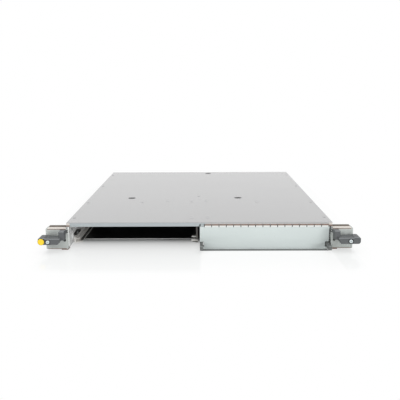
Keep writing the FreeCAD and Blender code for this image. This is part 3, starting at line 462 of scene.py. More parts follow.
def coordinates(finish, stretch=(1.0, 1.0, 1.0)):
    """Object coordinates, stretched."""
    where = add_node(finish, "ShaderNodeTexCoord", {})
    return add_node(finish, "ShaderNodeMapping", {"Scale": stretch,
                                                  "Vector": where.outputs["Object"]}).outputs["Vector"]


def place_on(finish, axis):
    """How far a point lies along X, Y or Z."""
    return add_node(finish, "ShaderNodeSeparateXYZ", {"Vector": coordinates(finish)}).outputs[axis]


def cloud(finish, scale, layers=2.0, stretch=(1.0, 1.0, 1.0)):
    """Soft noise; the scale counts its clouds in a metre."""
    return add_node(finish, "ShaderNodeTexNoise", {"Scale": scale, "Detail": layers,
                                                   "Vector": coordinates(finish, stretch)}).outputs["Fac"]


def crystals(finish, scale):
    """Patches with a random level each, such as the spangle of zinc."""
    cells = add_node(finish, "ShaderNodeTexVoronoi", {"Scale": scale, "Vector": coordinates(finish)})
    return add_node(finish, "ShaderNodeSeparateColor", {"Color": cells.outputs["Color"]}).outputs["Red"]


def facing(finish, direction, strength=1.0):
    """High on the faces that look in one direction."""
    where = add_node(finish, "ShaderNodeTexCoord", {})
    product = add_node(finish, "ShaderNodeVectorMath", {0: where.outputs["Normal"], 1: direction},
                       operation="DOT_PRODUCT")
    return spread(finish, product.outputs["Value"], 0.0, strength, 0.88, 0.98)


def stripes(finish, scale, direction, distortion=0.0):
    """Even waves along one direction."""
    return add_node(finish, "ShaderNodeTexWave", {"Scale": scale, "Distortion": distortion,
                                                  "Vector": coordinates(finish)},
                    bands_direction=direction).outputs["Fac"]


def spread(finish, level, low, high, start=0.0, end=1.0):
    """A level brought from one range to another."""
    return add_node(finish, "ShaderNodeMapRange", {"Value": level, "From Min": start, "From Max": end,
                                                   "To Min": low, "To Max": high}).outputs["Result"]


def calculate(finish, work, first, second):
    """Two levels put together."""
    return add_node(finish, "ShaderNodeMath", {0: first, 1: second}, operation=work).outputs["Value"]


def between(finish, level, first, second):
    """A colour between two others."""
    return add_node(finish, "ShaderNodeMix", {"Factor": level, 6: first, 7: second},
                    data_type="RGBA").outputs[2]


def shade(tint, factor):
    """A tint made darker or lighter."""
    return tuple(min(1.0, v * factor) for v in tint) + (1.0,)


def relief(finish, level, strength, depth):
    """Raise the surface by a level, with a depth in millimetres."""
    bump = add_node(finish, "ShaderNodeBump", {"Strength": strength, "Distance": depth * MM,
                                               "Height": level})
    surface(finish, {"Normal": bump.outputs["Normal"]})


def painted(name, tint, roughness, front=None, front_right_shade=None):
    """Baked paint with a faint peel and small specks, and painted shade in two tints on its front faces.
    """
    finish = new_finish(name, 0.0, roughness)
    broad = cloud(finish, 14.0, 3.0)
    tone = between(finish, spread(finish, broad, 0.0, 1.0, 0.3, 0.7), shade(tint, 0.965),
                   shade(tint, 1.03))
    specks = spread(finish, cloud(finish, 420.0, 1.0), 0.0, 0.5, 0.74, 0.8)
    tone = between(finish, specks, tone, shade(tint, 0.86))
    # Painted shade: faces that look to the front take the lip's tint, and right of SHORT_LIP_START the
    # short lip's.
    if front:
        start, end = SHORT_LIP_START
        right = spread(finish, place_on(finish, "X"), 0.0, 1.0, start * MM, end * MM)
        lip = between(finish, right, shade(front, 1.0), shade(front_right_shade, 1.0))
        tone = between(finish, facing(finish, (0.0, -1.0, 0.0)), tone, lip)
    surface(finish, {"Base Color": tone,
                     "Roughness": spread(finish, broad, roughness - 0.05, roughness + 0.07)})
    relief(finish, cloud(finish, 1500.0), 0.25, 0.02)
    return finish


def plated(name, tint, roughness=0.34, spangle=160.0, metallic=1.0, contrast=1.0):
    """Zinc plate with a fine spangle, rolling marks and dull handling marks."""
    finish = new_finish(name, metallic, roughness)
    rolled = cloud(finish, 260.0, 3.0, (1.0, 0.08, 1.0))
    mixed = calculate(finish, "ADD", spread(finish, crystals(finish, spangle), 0.0, 0.45),
                      spread(finish, rolled, 0.0, 0.55, 0.25, 0.75))
    tone = between(finish, mixed, shade(tint, 1.0 - 0.12 * contrast),
                   shade(tint, 1.0 + 0.06 * contrast))
    marks = spread(finish, cloud(finish, 60.0, 4.0), 0.0, 0.6 * contrast, 0.58, 0.78)
    surface(finish, {"Base Color": between(finish, marks, tone, shade(tint, 0.8)),
                     "Roughness": spread(finish, mixed, roughness - 0.06, roughness + 0.1)})
    relief(finish, rolled, 0.2, 0.02)


def moulded(name, tint, roughness=0.48):
    """Moulded plastic with a fine spark texture, rubbed patches and a painted highlight on its edges."""
    finish = new_finish(name, 0.0, roughness)
    grain = cloud(finish, 2600.0)
    rubbed = spread(finish, cloud(finish, 180.0, 4.0), 0.0, 0.5, 0.55, 0.75)
    tone = between(finish, grain, shade(tint, 0.9), shade(tint, 1.08))
    tone = between(finish, rubbed, tone, shade(tint, 1.22))
    # Painted highlight: faces that slope up towards the front get a far lighter tint, as light caught on
    # the rounded edges.
    edges = facing(finish, (0.0, -0.707, 0.707), 0.75)
    surface(finish, {"Base Color": between(finish, edges, tone, shade(tint, 2.3)),
                     "Roughness": spread(finish, grain, roughness - 0.08, roughness + 0.1)})
    relief(finish, grain, 0.5, 0.03)


def woven(name, tint):
    """Conductive cloth over foam, with a fine weave."""
    finish = new_finish(name, 0.25, 0.7, 0.3)
    weave = calculate(finish, "MULTIPLY", stripes(finish, 700.0, "X"),
                      stripes(finish, 700.0, "Y"))
    tone = between(finish, weave, shade(tint, 0.78), shade(tint, 1.15))
    mottle = spread(finish, cloud(finish, 500.0, 3.0), 0.0, 0.5)
    surface(finish, {"Base Color": between(finish, mottle, tone, shade(tint, 0.85))})
    relief(finish, weave, 0.6, 0.05)


def glossy_film(name, tint, roughness=0.3):
    """Thin black film or lacquer with a faint haze and dust."""
    finish = new_finish(name, 0.0, roughness, 0.35)
    haze = cloud(finish, 90.0, 4.0)
    dust = spread(finish, cloud(finish, 1300.0, 1.0), 0.0, 0.35, 0.7, 0.8)
    tone = between(finish, haze, shade(tint, 0.8), shade(tint, 1.3))
    surface(finish, {"Base Color": between(finish, dust, tone, (0.1, 0.1, 0.1, 1.0)),
                     "Roughness": spread(finish, haze, roughness - 0.08, roughness + 0.12)})
    relief(finish, haze, 0.2, 0.05)


def circuit_green(name, tint):
    """Green solder mask over copper tracks."""
    finish = new_finish(name, 0.0, 0.35)
    tracks = calculate(finish, "MAXIMUM",
                       spread(finish, stripes(finish, 180.0, "X", 2.0), 0.0, 1.0, 0.82, 0.9),
                       spread(finish, stripes(finish, 150.0, "Y", 3.0), 0.0, 1.0, 0.85, 0.92))
    surface(finish, {"Base Color": between(finish, tracks, shade(tint, 0.85), shade(tint, 1.5)),
                     "Roughness": spread(finish, tracks, 0.3, 0.42)})
    relief(finish, tracks, 0.3, 0.03)


def make_finishes():
    """All materials of the card, each under the name of its slot."""
    look = bpy.context.scene.card_finish
    cover = painted("cover_paint", look.cover, 0.35, look.lip, look.short_lip_shade)
    surface(cover, {"Coat Weight": 1.0, "Coat Roughness": 0.16})
    painted("filler_paint", look.filler, 0.42)
    plated("zinc_sheet", look.zinc, 0.5, 160.0, 0.15, 1.5)
    plated("bracket_zinc", look.bracket, 0.5, 260.0, 0.25)
    plated("guide_metal", look.guide, 0.45, 200.0, 0.3)
    painted("bulkhead_sheet", look.bulkhead, 0.5)
    glossy_film("black_film", look.film)
    plated("stud_metal", look.stud, 0.4, 600.0)
    plated("dark_screw", look.dark_screw, 0.4, 900.0, 0.6)
    plated("post_metal", look.zinc, 0.3, 500.0)
    woven("gasket", look.gasket)
    plated("finger_metal", look.finger, 0.38, 700.0, 0.35, 0.3)
    # Black used as painted shade.
    moulded("rim_black", look.rim, 0.5)
    plated("pin_steel", look.screw, 0.3, 900.0)
    plated("screw_nickel", look.screw, 0.36, 900.0, 0.4, 0.6)
    moulded("handle_plastic", look.handle)
    moulded("latch_plastic", look.latch)
    moulded("cap_yellow", look.cap, 0.38)
    plated("lock_steel", look.lock, 0.42, 500.0, 0.5)
    circuit_green("board_green", look.board)
    glossy_film("chip_black", look.bulkhead, 0.4)
    plated("sink_aluminium", look.finger, 0.36, 300.0)
    circuit_green("memory_green", look.board)
    glossy_film("converter_black", look.bulkhead, 0.45)
    moulded("connector_black", look.bulkhead, 0.5)
    moulded("connector_grey", look.guide, 0.5)
    plated("socket_metal", look.zinc, 0.3, 500.0)
    plated("contact_gold", look.gold, 0.25, 900.0)
    woven("backing_tape", look.tape)
    woven("foot_cloth", look.foot)
    plated("divider_metal", look.divider, 0.45, 200.0, 0.3)


class CardPiece(bpy.types.Operator):
    """What every operator of the card shares."""
    bl_options = {"REGISTER", "UNDO"}

    @classmethod
    def poll(cls, context):
        return context.mode == "OBJECT"


# The stage
class LINECARD_OT_stage(CardPiece):
    """Add the camera, the lamps and the paper that the card stands on"""
    bl_idname = "linecard.stage"
    bl_label = "Stage"

    def execute(self, context):
        stage = context.scene.card_stage
        place_camera(context.scene, stage)
        lay_paper(stage)
        hang_lamps(stage)
        light_world(context.scene, stage)
        context.scene.view_settings.view_transform = "Standard"
        return {"FINISHED"}


def place_camera(scene, stage):
    """The camera of the photograph."""
    lens = bpy.data.cameras.new("camera")
    lens.lens = stage.focal
    lens.sensor_width = SENSOR_WIDTH
    lens.shift_x = LENS_SHIFT
    lens.clip_start = 0.01
    lens.clip_end = 60.0
    camera = bpy.data.objects.new("camera", lens)
    scene.collection.objects.link(camera)
    place = Matrix.Translation((stage.camera_x, -stage.camera_back, stage.camera_z))
    lean = Matrix.Rotation(math.pi / 2 - stage.pitch, 4, "X")
    camera.matrix_world = place @ lean @ Matrix.Rotation(-stage.roll, 4, "Z")
    scene.camera = camera


def distance_from(finish, middle_x, middle_y, half_x, half_y, across):
    """Distance on the floor from a rectangle, with its X part made longer."""
    away = coordinates(finish, (1.0, 1.0, 0.0))
    none = (0.0, 0.0, 0.0)
    for work, other in (("SUBTRACT", (middle_x, middle_y, 0.0)), ("ABSOLUTE", none),
                        ("SUBTRACT", (half_x, half_y, 0.0)), ("MAXIMUM", none),
                        ("MULTIPLY", (across, 1.0, 1.0)), ("LENGTH", none)):
        step = add_node(finish, "ShaderNodeVectorMath", {0: away, 1: other}, operation=work)
        away = step.outputs["Value" if work == "LENGTH" else "Vector"]
    return away


def fade_levels(finish, reach, steps):
    """How far the floor has turned white, in steps over its fade."""
    ramp = add_node(finish, "ShaderNodeValToRGB", {"Fac": reach})
    for place, level in steps:
        ramp.color_ramp.elements.new(place).color = (level, level, level, 1.0)
    return ramp.outputs["Color"]


def floor_fade(finish, reach):
    """How far the floor has turned white, less so in the zones that keep a painted reflection of the
    card.
    """
    side = place_on(finish, "X")
    zones = [calculate(finish, "MULTIPLY", spread(finish, side, 0.0, 1.0, start * MM, full * MM),
                       spread(finish, side, 1.0, 0.0, last * MM, end * MM))
             for start, full, last, end in PAINTED_REFLECTION_ZONES]
    return between(finish, calculate(finish, "MAXIMUM", *zones),
                   fade_levels(finish, reach, CLEAR_STEPS), fade_levels(finish, reach, PAINTED_REFLECTION_STEPS))


def lay_paper(stage):
    """A wide sheet of pale paper that fades into the white background."""
    clear_selection()
    bpy.ops.mesh.primitive_plane_add(size=PAPER_SIZE, location=(0.0, 0.0, 0.0))
    paper = settle(bpy.context.active_object, "paper")
    finish = new_finish("stage_paper", 0.0, 0.1, 0.32)
    grain = cloud(finish, 900.0)
    tone = between(finish, grain, shade(stage.floor, 0.995), shade(stage.floor, 1.005))
    card = distance_from(finish, 0.0, stage.shade_y, stage.shade_half_x, stage.shade_half_y,
                         SIDE_STRETCH)
    foot = distance_from(finish, stage.foot_x, stage.foot_y, stage.foot_half_x,
                         stage.foot_half_y, 1.0)
    # Painted shadow: the paper darkens towards black along the card's edge and in a line in front of the
    # filler panel.
    contact = calculate(finish, "MINIMUM",
                        spread(finish, card, CARD_SHADE, 1.0, 0.0, CARD_REACH * MM),
                        spread(finish, foot, FOOT_SHADE, 1.0, 0.0, FOOT_REACH * MM))
    surface(finish, {"Base Color": between(finish, contact, BLACK, tone)})
    fade = floor_fade(finish, spread(finish, card, 0.0, 1.0, 0.0, stage.fade))
    # The painted shadow in front of the filler panel also holds back the white glow.
    fade = calculate(finish, "MULTIPLY", fade,
                     spread(finish, foot, FOOT_GLOW, 1.0, 0.0, FOOT_REACH * MM))
    glow = add_node(finish, "ShaderNodeEmission", {"Color": WHITE, "Strength": 1.0})
    mix = add_node(finish, "ShaderNodeMixShader", {
        "Fac": calculate(finish, "MULTIPLY", fade, seen_level(finish)),
        1: shader_of(finish).outputs["BSDF"], 2: glow.outputs["Emission"]})
    connect(finish, finish.node_tree.nodes["Material Output"], {"Surface": mix.outputs["Shader"]})
    paper.data.materials.append(finish)


def seen_level(owner):
    """1 for the rays of the camera, of gloss and of clear matter, and 0 for all other light."""
    path = add_node(owner, "ShaderNodeLightPath", {})
    seen = calculate(owner, "MAXIMUM", path.outputs["Is Camera Ray"],
                     path.outputs["Is Glossy Ray"])
    return calculate(owner, "MAXIMUM", seen, path.outputs["Is Transmission Ray"])


def hang_lamps(stage):
    """Broad soft lamps above, at the right and at the left; only the upper one shows in gloss."""
    lamps = (("key_lamp", stage.key_power, (0.2, -0.5, 1.5), 1.6),
             ("side_lamp", stage.side_power, (1.05, -1.15, 0.15), 0.45),
             ("left_lamp", stage.left_power, (-0.75, -0.9, 0.4), 0.75))
    for name, power, place, size in lamps:
        lamp = bpy.data.lights.new(name, "AREA")
        lamp.energy = power
        lamp.color = (0.975, 1.0, 0.995)
        lamp.size = size
        holder = bpy.data.objects.new(name, lamp)
        bpy.context.scene.collection.objects.link(holder)
        holder.visible_glossy = name == "key_lamp"
        holder.location = place
        holder.rotation_euler = (-Vector(place)).to_track_quat("-Z", "Y").to_euler()


def light_world(scene, stage):
    """Soft light from all around, which the camera and gloss see as white."""
    world = bpy.data.worlds.new("world")
    world.use_nodes = True
    scene.world = world
    level = spread(world, seen_level(world), stage.world_level, 1.0)
    connect(world, world.node_tree.nodes["Background"], {"Color": WHITE, "Strength": level})


# The pieces
class LINECARD_OT_finishes(CardPiece):
    """Make the finishes and give each CAD node its own"""
    bl_idname = "linecard.finishes"
    bl_label = "Finishes"

    def execute(self, context):
        make_finishes()
        for node, piece in frame["nodes"].items():
            paint(piece, slot_of_node(node))
        return {"FINISHED"}


class LINECARD_OT_handles(CardPiece):
    """Round the moulded edges of the two ejector handles"""
    bl_idname = "linecard.handles"
    bl_label = "Ejector handles"

    def execute(self, context):
        for side in SIDES:
            round_node("ejector_handle_" + side, "handle_moulding_" + side,
                       detail("mould_round"), segments=3, limit=28.0, shading=40.0)
        return {"FINISHED"}


class LINECARD_OT_cap(CardPiece):
    """Turn the yellow cap of the left handle, sunk in a dark ring of painted shade"""
    bl_idname = "linecard.cap"
    bl_label = "Handle cap"

    def execute(self, context):
        low, high = box_of("handle_cap")
        middle, length = (low + high) / 2, high.y - low.y
        outer = (high.z - low.z) / 2
        inner = outer - detail("cap_rim")
        cap = add_rod("cap_disc", middle, inner, length, "Y", 64)
        bevel_edges(cap, at("Y", low.y), 0.3, 4)
        sink_front(cap, low.y, ((0.3, 0.0), (0.12, -0.1), (0.4, 0.1), (0.8, 0.05)))
        fit(smooth(cap, 50.0), "handle_cap")
        # A dark ring round the cap: painted shade of the cap's side.
        ring = ring_of("cap_rim", (middle.x, middle.y + 0.15, middle.z), outer, inner + 0.03,
                       length - 0.3)
        bevel_edges(ring, below("Y", low.y + 0.35), 0.2)
        fit_extra(smooth(ring, 50.0), body_of_node("handle_cap"), "handle_plastic", "rim_black")
        return {"FINISHED"}


class LINECARD_OT_captive_screws(CardPiece):
    """Turn the two captive screws, with a chamfered head and a driver cross"""
    bl_idname = "linecard.captive_screws"
    bl_label = "Captive screws"

    def execute(self, context):
        head_length, shank_radius, shade_ring_outer, shade_ring_length = 2.4, 1.2, 2.96, 1.2
        cross_length, cross_width, cross_depth = 1.35, 0.26, 0.9
        for side in SIDES:
            node = "captive_screw_" + side
            low, high = box_of(node)
            x, z = (low.x + high.x) / 2, (low.z + high.z) / 2
            front, back, radius = low.y, high.y, (high.z - low.z) / 2
            neck = front + head_length
            head = add_rod("screw_head", (x, (front + neck) / 2, z), radius, head_length, "Y", 48)
            bevel_edges(head, at("Y", front), 0.35)
            for wide, tall in ((cross_length, cross_width), (cross_width, cross_length)):
                carve(head, add_block("driver_slot", (x - wide, front - 1.0, z - tall),
                                      (x + wide, front + cross_depth, z + tall)))
            shank = add_rod("screw_shank", (x, (neck + back) / 2, z), shank_radius,
                            back - neck + 0.02, "Y", 32)
            tip = add_rod("screw_tip", (x, back - 1.0, z), shank_radius, 1.9, "Y", 32)
            bevel_edges(tip, above("Y", back - 0.2), 0.3, 2)
            screw = join("captive_screw_turned_" + side, [head, shank, tip])
            fit(smooth(screw, 35.0), node)
            # A dark ring round each screw head in its pocket: painted shade.
            seat = ring_of("screw_seat_" + side, (x, front + 2.2, z), shade_ring_outer, radius + 0.1,
                           shade_ring_length)
            bevel_edges(seat, below("Y", front + 1.7), 0.15, 2)
            fit_extra(smooth(seat, 40.0), "handle_" + side, "handle_plastic", "rim_black")
        return {"FINISHED"}


class LINECARD_OT_latches(CardPiece):
    """Round the moulded edges of the filler's two finger tabs"""
    bl_idname = "linecard.latches"
    bl_label = "Filler latches"

    def execute(self, context):
        for side in SIDES:
            round_node("filler_latch_" + side, "finger_tab_" + side, detail("latch_round"))
        return {"FINISHED"}


class LINECARD_OT_tool_holes(CardPiece):
    """Set a dark disc into each bracket's face, painted shade that stands in for the tool hole"""
    bl_idname = "linecard.tool_holes"
    bl_label = "Tool holes"

    def execute(self, context):
        from_inner, from_foot, proud, length = 3.6, 10.3, 0.2, 0.8
        for side in SIDES:
            bracket = "ejector_bracket_" + side
            inner, low = inner_outer(side, bracket)[0], box_of(bracket)[0]
            face = low.y - proud
            # A dark disc: painted shade of the tool hole.
            hole = add_rod("tool_hole_" + side, (inner + SIGN[side] * from_inner,
                                                 face + length / 2, low.z + from_foot),
                           detail("tool_hole"), length, "Y")
            bevel_edges(hole, at("Y", face), 0.12, 2)
            sink_front(hole, face, ((0.3, 0.0), (0.1, -0.12)))
            fit_extra(smooth(hole, 40.0), "carrier", "bracket_zinc", "rim_black")
        return {"FINISHED"}


class LINECARD_OT_guide_lips(CardPiece):
    """Add the lips of the open bay's guides, black strips of painted shade on the guides and over the
    pan's edge, and more of the pan's film
    """
    bl_idname = "linecard.guide_lips"
    bl_label = "Guide lips"

    def execute(self, context):
        low, high = box_of("wall_guide_left")
        outer, mouth, back = high.x, low.y, high.y
        web = box_of("divider_guide_left")[1].x - 2.2
        pan = box_of("bottom_pan")[0]
        lips = [round_all(add_block("lip", (web - reach, mouth - 0.5, bottom),
                                    (web + over, mouth + 5.0, top)), 0.2)
                for reach, over, bottom, top in ((5.4, 0.2, 8.0, 8.9), (5.6, 2.0, 3.2, 5.0))]
        fit_extra(smooth(join("guide_lips", lips), 30.0), "carrier", "guide_metal")
        # A black strip over the pan's front edge: painted shade, so the edge shows no light.
        edge = add_block("film_edge", (pan.x + 4.0, pan.y - 0.12, 0.6),
                         (web - 2.5, pan.y + 1.95, 1.45))
        films_and_shade = [bevel_edges(edge, below("Y", pan.y), 0.06, 2)]
        # Black strips: those at level 1.2 on the pan continue its film; those on the guide flanges are
        # painted shade.
        for near_x, far_x, start, level in (
                (outer - 3.5, outer - 0.1, mouth + 8.0, 2.2),
                (outer - 0.05, outer + 2.1, pan.y, 1.2), (web - 4.2, web, mouth + 8.0, 2.2),
                (web - 3.2, web, mouth + 6.0, 6.7), (web - 6.4, web - 4.3, pan.y, 1.2)):
            film = add_block("film_strip", (near_x, start, level), (far_x, back, level + 0.1))
            films_and_shade.append(bevel_edges(film, above("Z", level + 0.05), 0.04, 1))
        fit_extra(join("guide_films", films_and_shade), "carrier", "black_film")
        return {"FINISHED"}


def curl_strip(name, points, start, length, axis, sheet):
    """A strip of spring metal that follows a curl; the points are across its axis."""
    clear_selection()
    first, second = points[0], points[1]
    bpy.ops.mesh.primitive_plane_add(size=1.0, location=(0.0, 0.0, 0.0))
    strip = bpy.context.active_object
    spots = {}
    for corner in strip.data.vertices:
        along = start + (length if corner.co.x > 0 else 0.0)
        spot = second if corner.co.y > 0 else first
        corner.co = across(along, spot, axis)
        spots[corner.index] = spot
    pick(strip, "edges", lambda e: all(spots[v.index] is second for v in e.verts))
    for old, new in zip(points[1:], points[2:]):
        step = across(0.0, new, axis) - across(0.0, old, axis)
        bpy.ops.mesh.extrude_region_move(TRANSFORM_OT_translate={"value": step})
    done(strip)
    settle(strip, name)
    wall = strip.modifiers.new("wall", "SOLIDIFY")
    wall.thickness = sheet * MM
    wall.offset = 0.0
    return apply_modifiers(strip)


def across(along, spot, axis):
    """A place in metres from a place along the strip's axis and one across it."""
    if axis == "X":
        return Vector((along, spot[0], spot[1])) * MM
    return Vector((spot[1], spot[0], along)) * MM


def arc(centre, radius, start, end, steps):
    """Points on an arc, with angles in degrees from the first axis."""
    turns = [math.radians(start + (end - start) * i / steps) for i in range(steps + 1)]
    return [(centre[0] + radius * math.cos(t), centre[1] + radius * math.sin(t)) for t in turns]


class LINECARD_OT_filler_fingers(CardPiece):
    """Bend the filler's spring fingers, with its hem, tape and painted shade on their tops and painted
    shade behind
    """
    bl_idname = "linecard.filler_fingers"
    bl_label = "Filler fingers"

    def execute(self, context):
        low, high = box_of("filler_finger_strip")
        left, right, back, floor = low.x, high.x, high.y, low.z + 0.08
        front, curl_radius = low.y - 0.48, 1.1
        # Y and Z of a finger: up its front, over its curl and back down to the band.
        curl = [(front, floor - 1.0), (front, floor + 0.5), (front, floor + 1.2)]
        curl += arc((front + curl_radius, floor + 1.2), curl_radius, 180.0, 60.0, 5)[1:]
        curl += [(front + 4.0, floor + 1.6), (back - 2.0, floor + 0.3), (back - 1.2, floor)]
        pitch, gap = detail("finger_pitch"), detail("finger_gap")
        width, count = pitch - gap, int((right - left) / pitch)
        first = right - count * pitch
        starts = [first + index * pitch + gap / 2 for index in range(count)]
        pieces = [add_block("finger_band", (left, back - 2.0, floor - 0.08),
                            (right, back, floor + 0.12))]
        pieces += [curl_strip("finger", curl, start, width, "X", detail("finger_sheet"))
                   for start in starts]
        fit(smooth(join("filler_fingers", pieces), 50.0), "filler_finger_strip")
        end = add_block("filler_strip_end", (left, front, floor + 0.1),
                        (first - gap / 2, front + 0.6, floor + 2.6))
        fit_extra(end, "filler", "cover_paint")
        # A black sheet behind the fingers: painted shade in the slots between them.
        slot_shade = add_block("finger_backing", (first, front + 0.12, floor - 0.9),
                            (right, front + 0.34, floor + 1.6))
        fit_extra(slot_shade, "filler", "black_film")
        # Brown strips over the upper part of the fingers: partly tape, partly painted shade under the
        # cover's lip.
        tapes = [bevel_edges(add_block("finger_tape", (start, front - 0.12, floor + 1.05),
                                       (start + width, front + 0.5, floor + 2.6)),
                             below("Y", front), 0.05, 1) for start in starts]
        fit_extra(join("finger_tapes", tapes), "filler", "gasket", "foot_cloth")
        low, high = box_of("filler_panel")
        hem = add_block("filler_hem", (low.x + 4.6, low.y - 0.2, 0.05),
                        (high.x - 4.6, low.y + 0.9, 0.7))
        bevel_edges(hem, below("Y", low.y - 0.1), 0.1, 2)
        fit_extra(smooth(hem, 40.0), "filler", "filler_paint")
        return {"FINISHED"}


class LINECARD_OT_edge_fingers(CardPiece):
    """Bend the spring fingers that clip over the front edges of the side walls"""
    bl_idname = "linecard.edge_fingers"
    bl_label = "Wall edge fingers"

    def execute(self, context):
        pitch, gap = detail("edge_pitch"), 0.6
        for side in SIDES:
            node = "edge_finger_strip_" + side
            low, high = box_of(node)
            inner, outer = inner_outer(side, node)
            lean, front, back = SIGN[side], low.y + 0.06, high.y
            # Y and X of a finger: along the wall's inner face and round its front edge.
            curl = [(back, inner + 0.06 * lean), (front + 1.2, inner + 0.06 * lean),
                    (front + 0.4, inner + 0.25 * lean), (front, inner + 0.7 * lean),
                    (front + 0.1, outer - 0.3 * lean), (front + 0.5, outer - 0.06 * lean)]
            pieces = [curl_strip("finger", curl, low.z + 0.25 + index * pitch, pitch - gap, "Z",
                                 detail("finger_sheet"))
                      for index in range(int((high.z - low.z) / pitch))]
            pieces.append(add_block("finger_band", (inner, back - 1.4, low.z),
                                    (inner + 0.14 * lean, back, high.z)))
            # The right wall's fingers take the black: painted shade of the gap at that wall's front edge.
            fit(smooth(join("wall_fingers_" + side, pieces), 50.0), node,
                "finger_metal" if side == "left" else "rim_black")
        return {"FINISHED"}


class LINECARD_OT_gaskets(CardPiece):
    """Round the cloth covered strips on the brackets"""
    bl_idname = "linecard.gaskets"
    bl_label = "Gaskets"

    def execute(self, context):
        for side in SIDES:
            for kind, finish, swell in (("top_gasket_", "gasket", GASKET_SWELL),
                                        ("foot_gasket_", "foot_cloth", 0.0)):
                low, high = box_of(kind + side)
                piece = add_block("cloth_" + kind + side, low, (high.x, high.y, high.z + swell))
                free = high.z + swell if swell else low.z
                bevel_edges(piece, at("Z", free), 0.5)
                fit(smooth(piece, 50.0), kind + side, finish)
        return {"FINISHED"}


class LINECARD_OT_gasket_tapes(CardPiece):
    """Lay the tape that shows before each top gasket and on the cover's corners, and dark lines along the
    bracket edges
    """
    bl_idname = "linecard.gasket_tapes"
    bl_label = "Gasket tapes"

    def execute(self, context):
        cloth_foot, tape_foot, tape_top = 27.3, 28.9, 31.2
        for side in SIDES:
            strip, bracket = "top_gasket_" + side, "ejector_bracket_" + side
            inner = inner_outer(side, strip)[0]
            outer = inner_outer(side, bracket)[1] - 2.0 * SIGN[side]
            (back, top), (front, foot) = box_of(strip)[0].yz, box_of(bracket)[0].yz
            tape = add_block("backing_tape_" + side, (inner, front + 0.1, top),
                             (outer, back - 0.05, top + 0.6))
            bevel_edges(tape, above("Z", top + 0.5), 0.15, 2)
            fit_extra(tape, "carrier", "gasket", "backing_tape")
            # Dark brown lines along the top and along the foot of each bracket's face.
            edges = []
            for level in (top - 0.5, foot + 0.1):
                edge = add_block("tape_edge", (inner, front - 0.06, level),
                                 (outer, front + 0.12, level + 0.68))
                edges.append(bevel_edges(edge, below("Y", front), 0.03, 1))
            corner, front = inner_outer(side, "cover_plate")[1], box_of("cover_plate")[0].y
            end = corner - CORNER_TAPE * SIGN[side]
            edges.append(add_block("corner_cloth", (corner, front - 0.12, cloth_foot),
                                   (end, front + 0.6, tape_foot)))
            fit_extra(join("tape_edges_" + side, edges), "carrier", "gasket", "foot_cloth")
            patch = add_block("corner_tape_" + side, (corner, front - 0.1, tape_foot),
                              (end, front + 0.6, tape_top))
            fit_extra(patch, "carrier", "gasket", "backing_tape")
        return {"FINISHED"}


class LINECARD_OT_cover_screws(CardPiece):
    """Turn the three blackened screws that fill the dished seats of the cover"""
    bl_idname = "linecard.cover_screws"
    bl_label = "Cover screws"

    def execute(self, context):
        head_radius, neck_radius, head_height, shank_radius = 5.05, 3.85, 1.7, 1.5
        half_length, half_width, depth = 1.3, 0.42, 1.0
        low, high = box_of("cover_screws")
        top, foot = high.z, low.z
        seat, share = top - head_height, neck_radius / head_radius
        screws = []
        for x, y in cover_screw_places():
            head = add_rod("screw_head", (x, y, top - head_height / 2), head_radius, head_height,
                           "Z", 48)
            pick(head, "verts", lambda v: abs(v.co.z - seat * MM) < TOUCH)
            bpy.ops.transform.resize(value=(share, share, 1.0),
                                     center_override=(x * MM, y * MM, seat * MM))
            bevel_edges(done(head), at("Z", top), 0.12, 2)
            for turn in range(3):
                slot = add_block("driver_slot", (-half_length, -half_width, top - depth),
                                 (half_length, half_width, top + depth))
                bevel_edges(slot, lambda e: abs(e.verts[0].co.z - e.verts[1].co.z) > MM, 0.3)
                slot.rotation_euler.z = turn * math.pi / 3
                slot.location = (x * MM, y * MM, 0.0)
                carve(head, settle(slot, "driver_slot"))
            shank = add_rod("screw_shank", (x, y, (foot + seat) / 2), shank_radius, seat - foot,
                            "Z", 24)
            screws += [head, bevel_edges(shank, at("Z", foot), 0.4, 2)]
        fit(smooth(join("countersunk_screws", screws), 35.0), "cover_screws")
        return {"FINISHED"}


def cover_screw_places():
    """Middles of the three cover screws, read from the CAD node."""
    groups = []
    for point in frame["nodes"]["cover_screws"].data.vertices:
        spot = point.co.xy
        for group in groups:
            if (group[0] - spot).length < 20.0 * MM:
                group.append(spot)
                break
        else:
            groups.append([spot])
    return sorted([(min(values) + max(values)) / 2 / MM for values in zip(*group)]
                  for group in groups)


class LINECARD_OT_sheet_parts(CardPiece):
    """Break the sharp edges of the folded sheets that the light catches"""
    bl_idname = "linecard.sheet_parts"
    bl_label = "Folded sheets"

    def execute(self, context):
        sheets = [("filler_panel", "blank_panel", None)]
        for side in SIDES:
            sheets += [("ejector_bracket_" + side, "folded_bracket_" + side, None),
                       ("wall_guide_" + side, "folded_wall_guide_" + side, None),
                       ("divider_guide_" + side, "folded_divider_guide_" + side, "divider_metal")]
        for node, name, finish in sheets:
            round_node(node, name, detail("sheet_round"), limit=50.0, shading=30.0,
                       finish=finish)
        return {"FINISHED"}


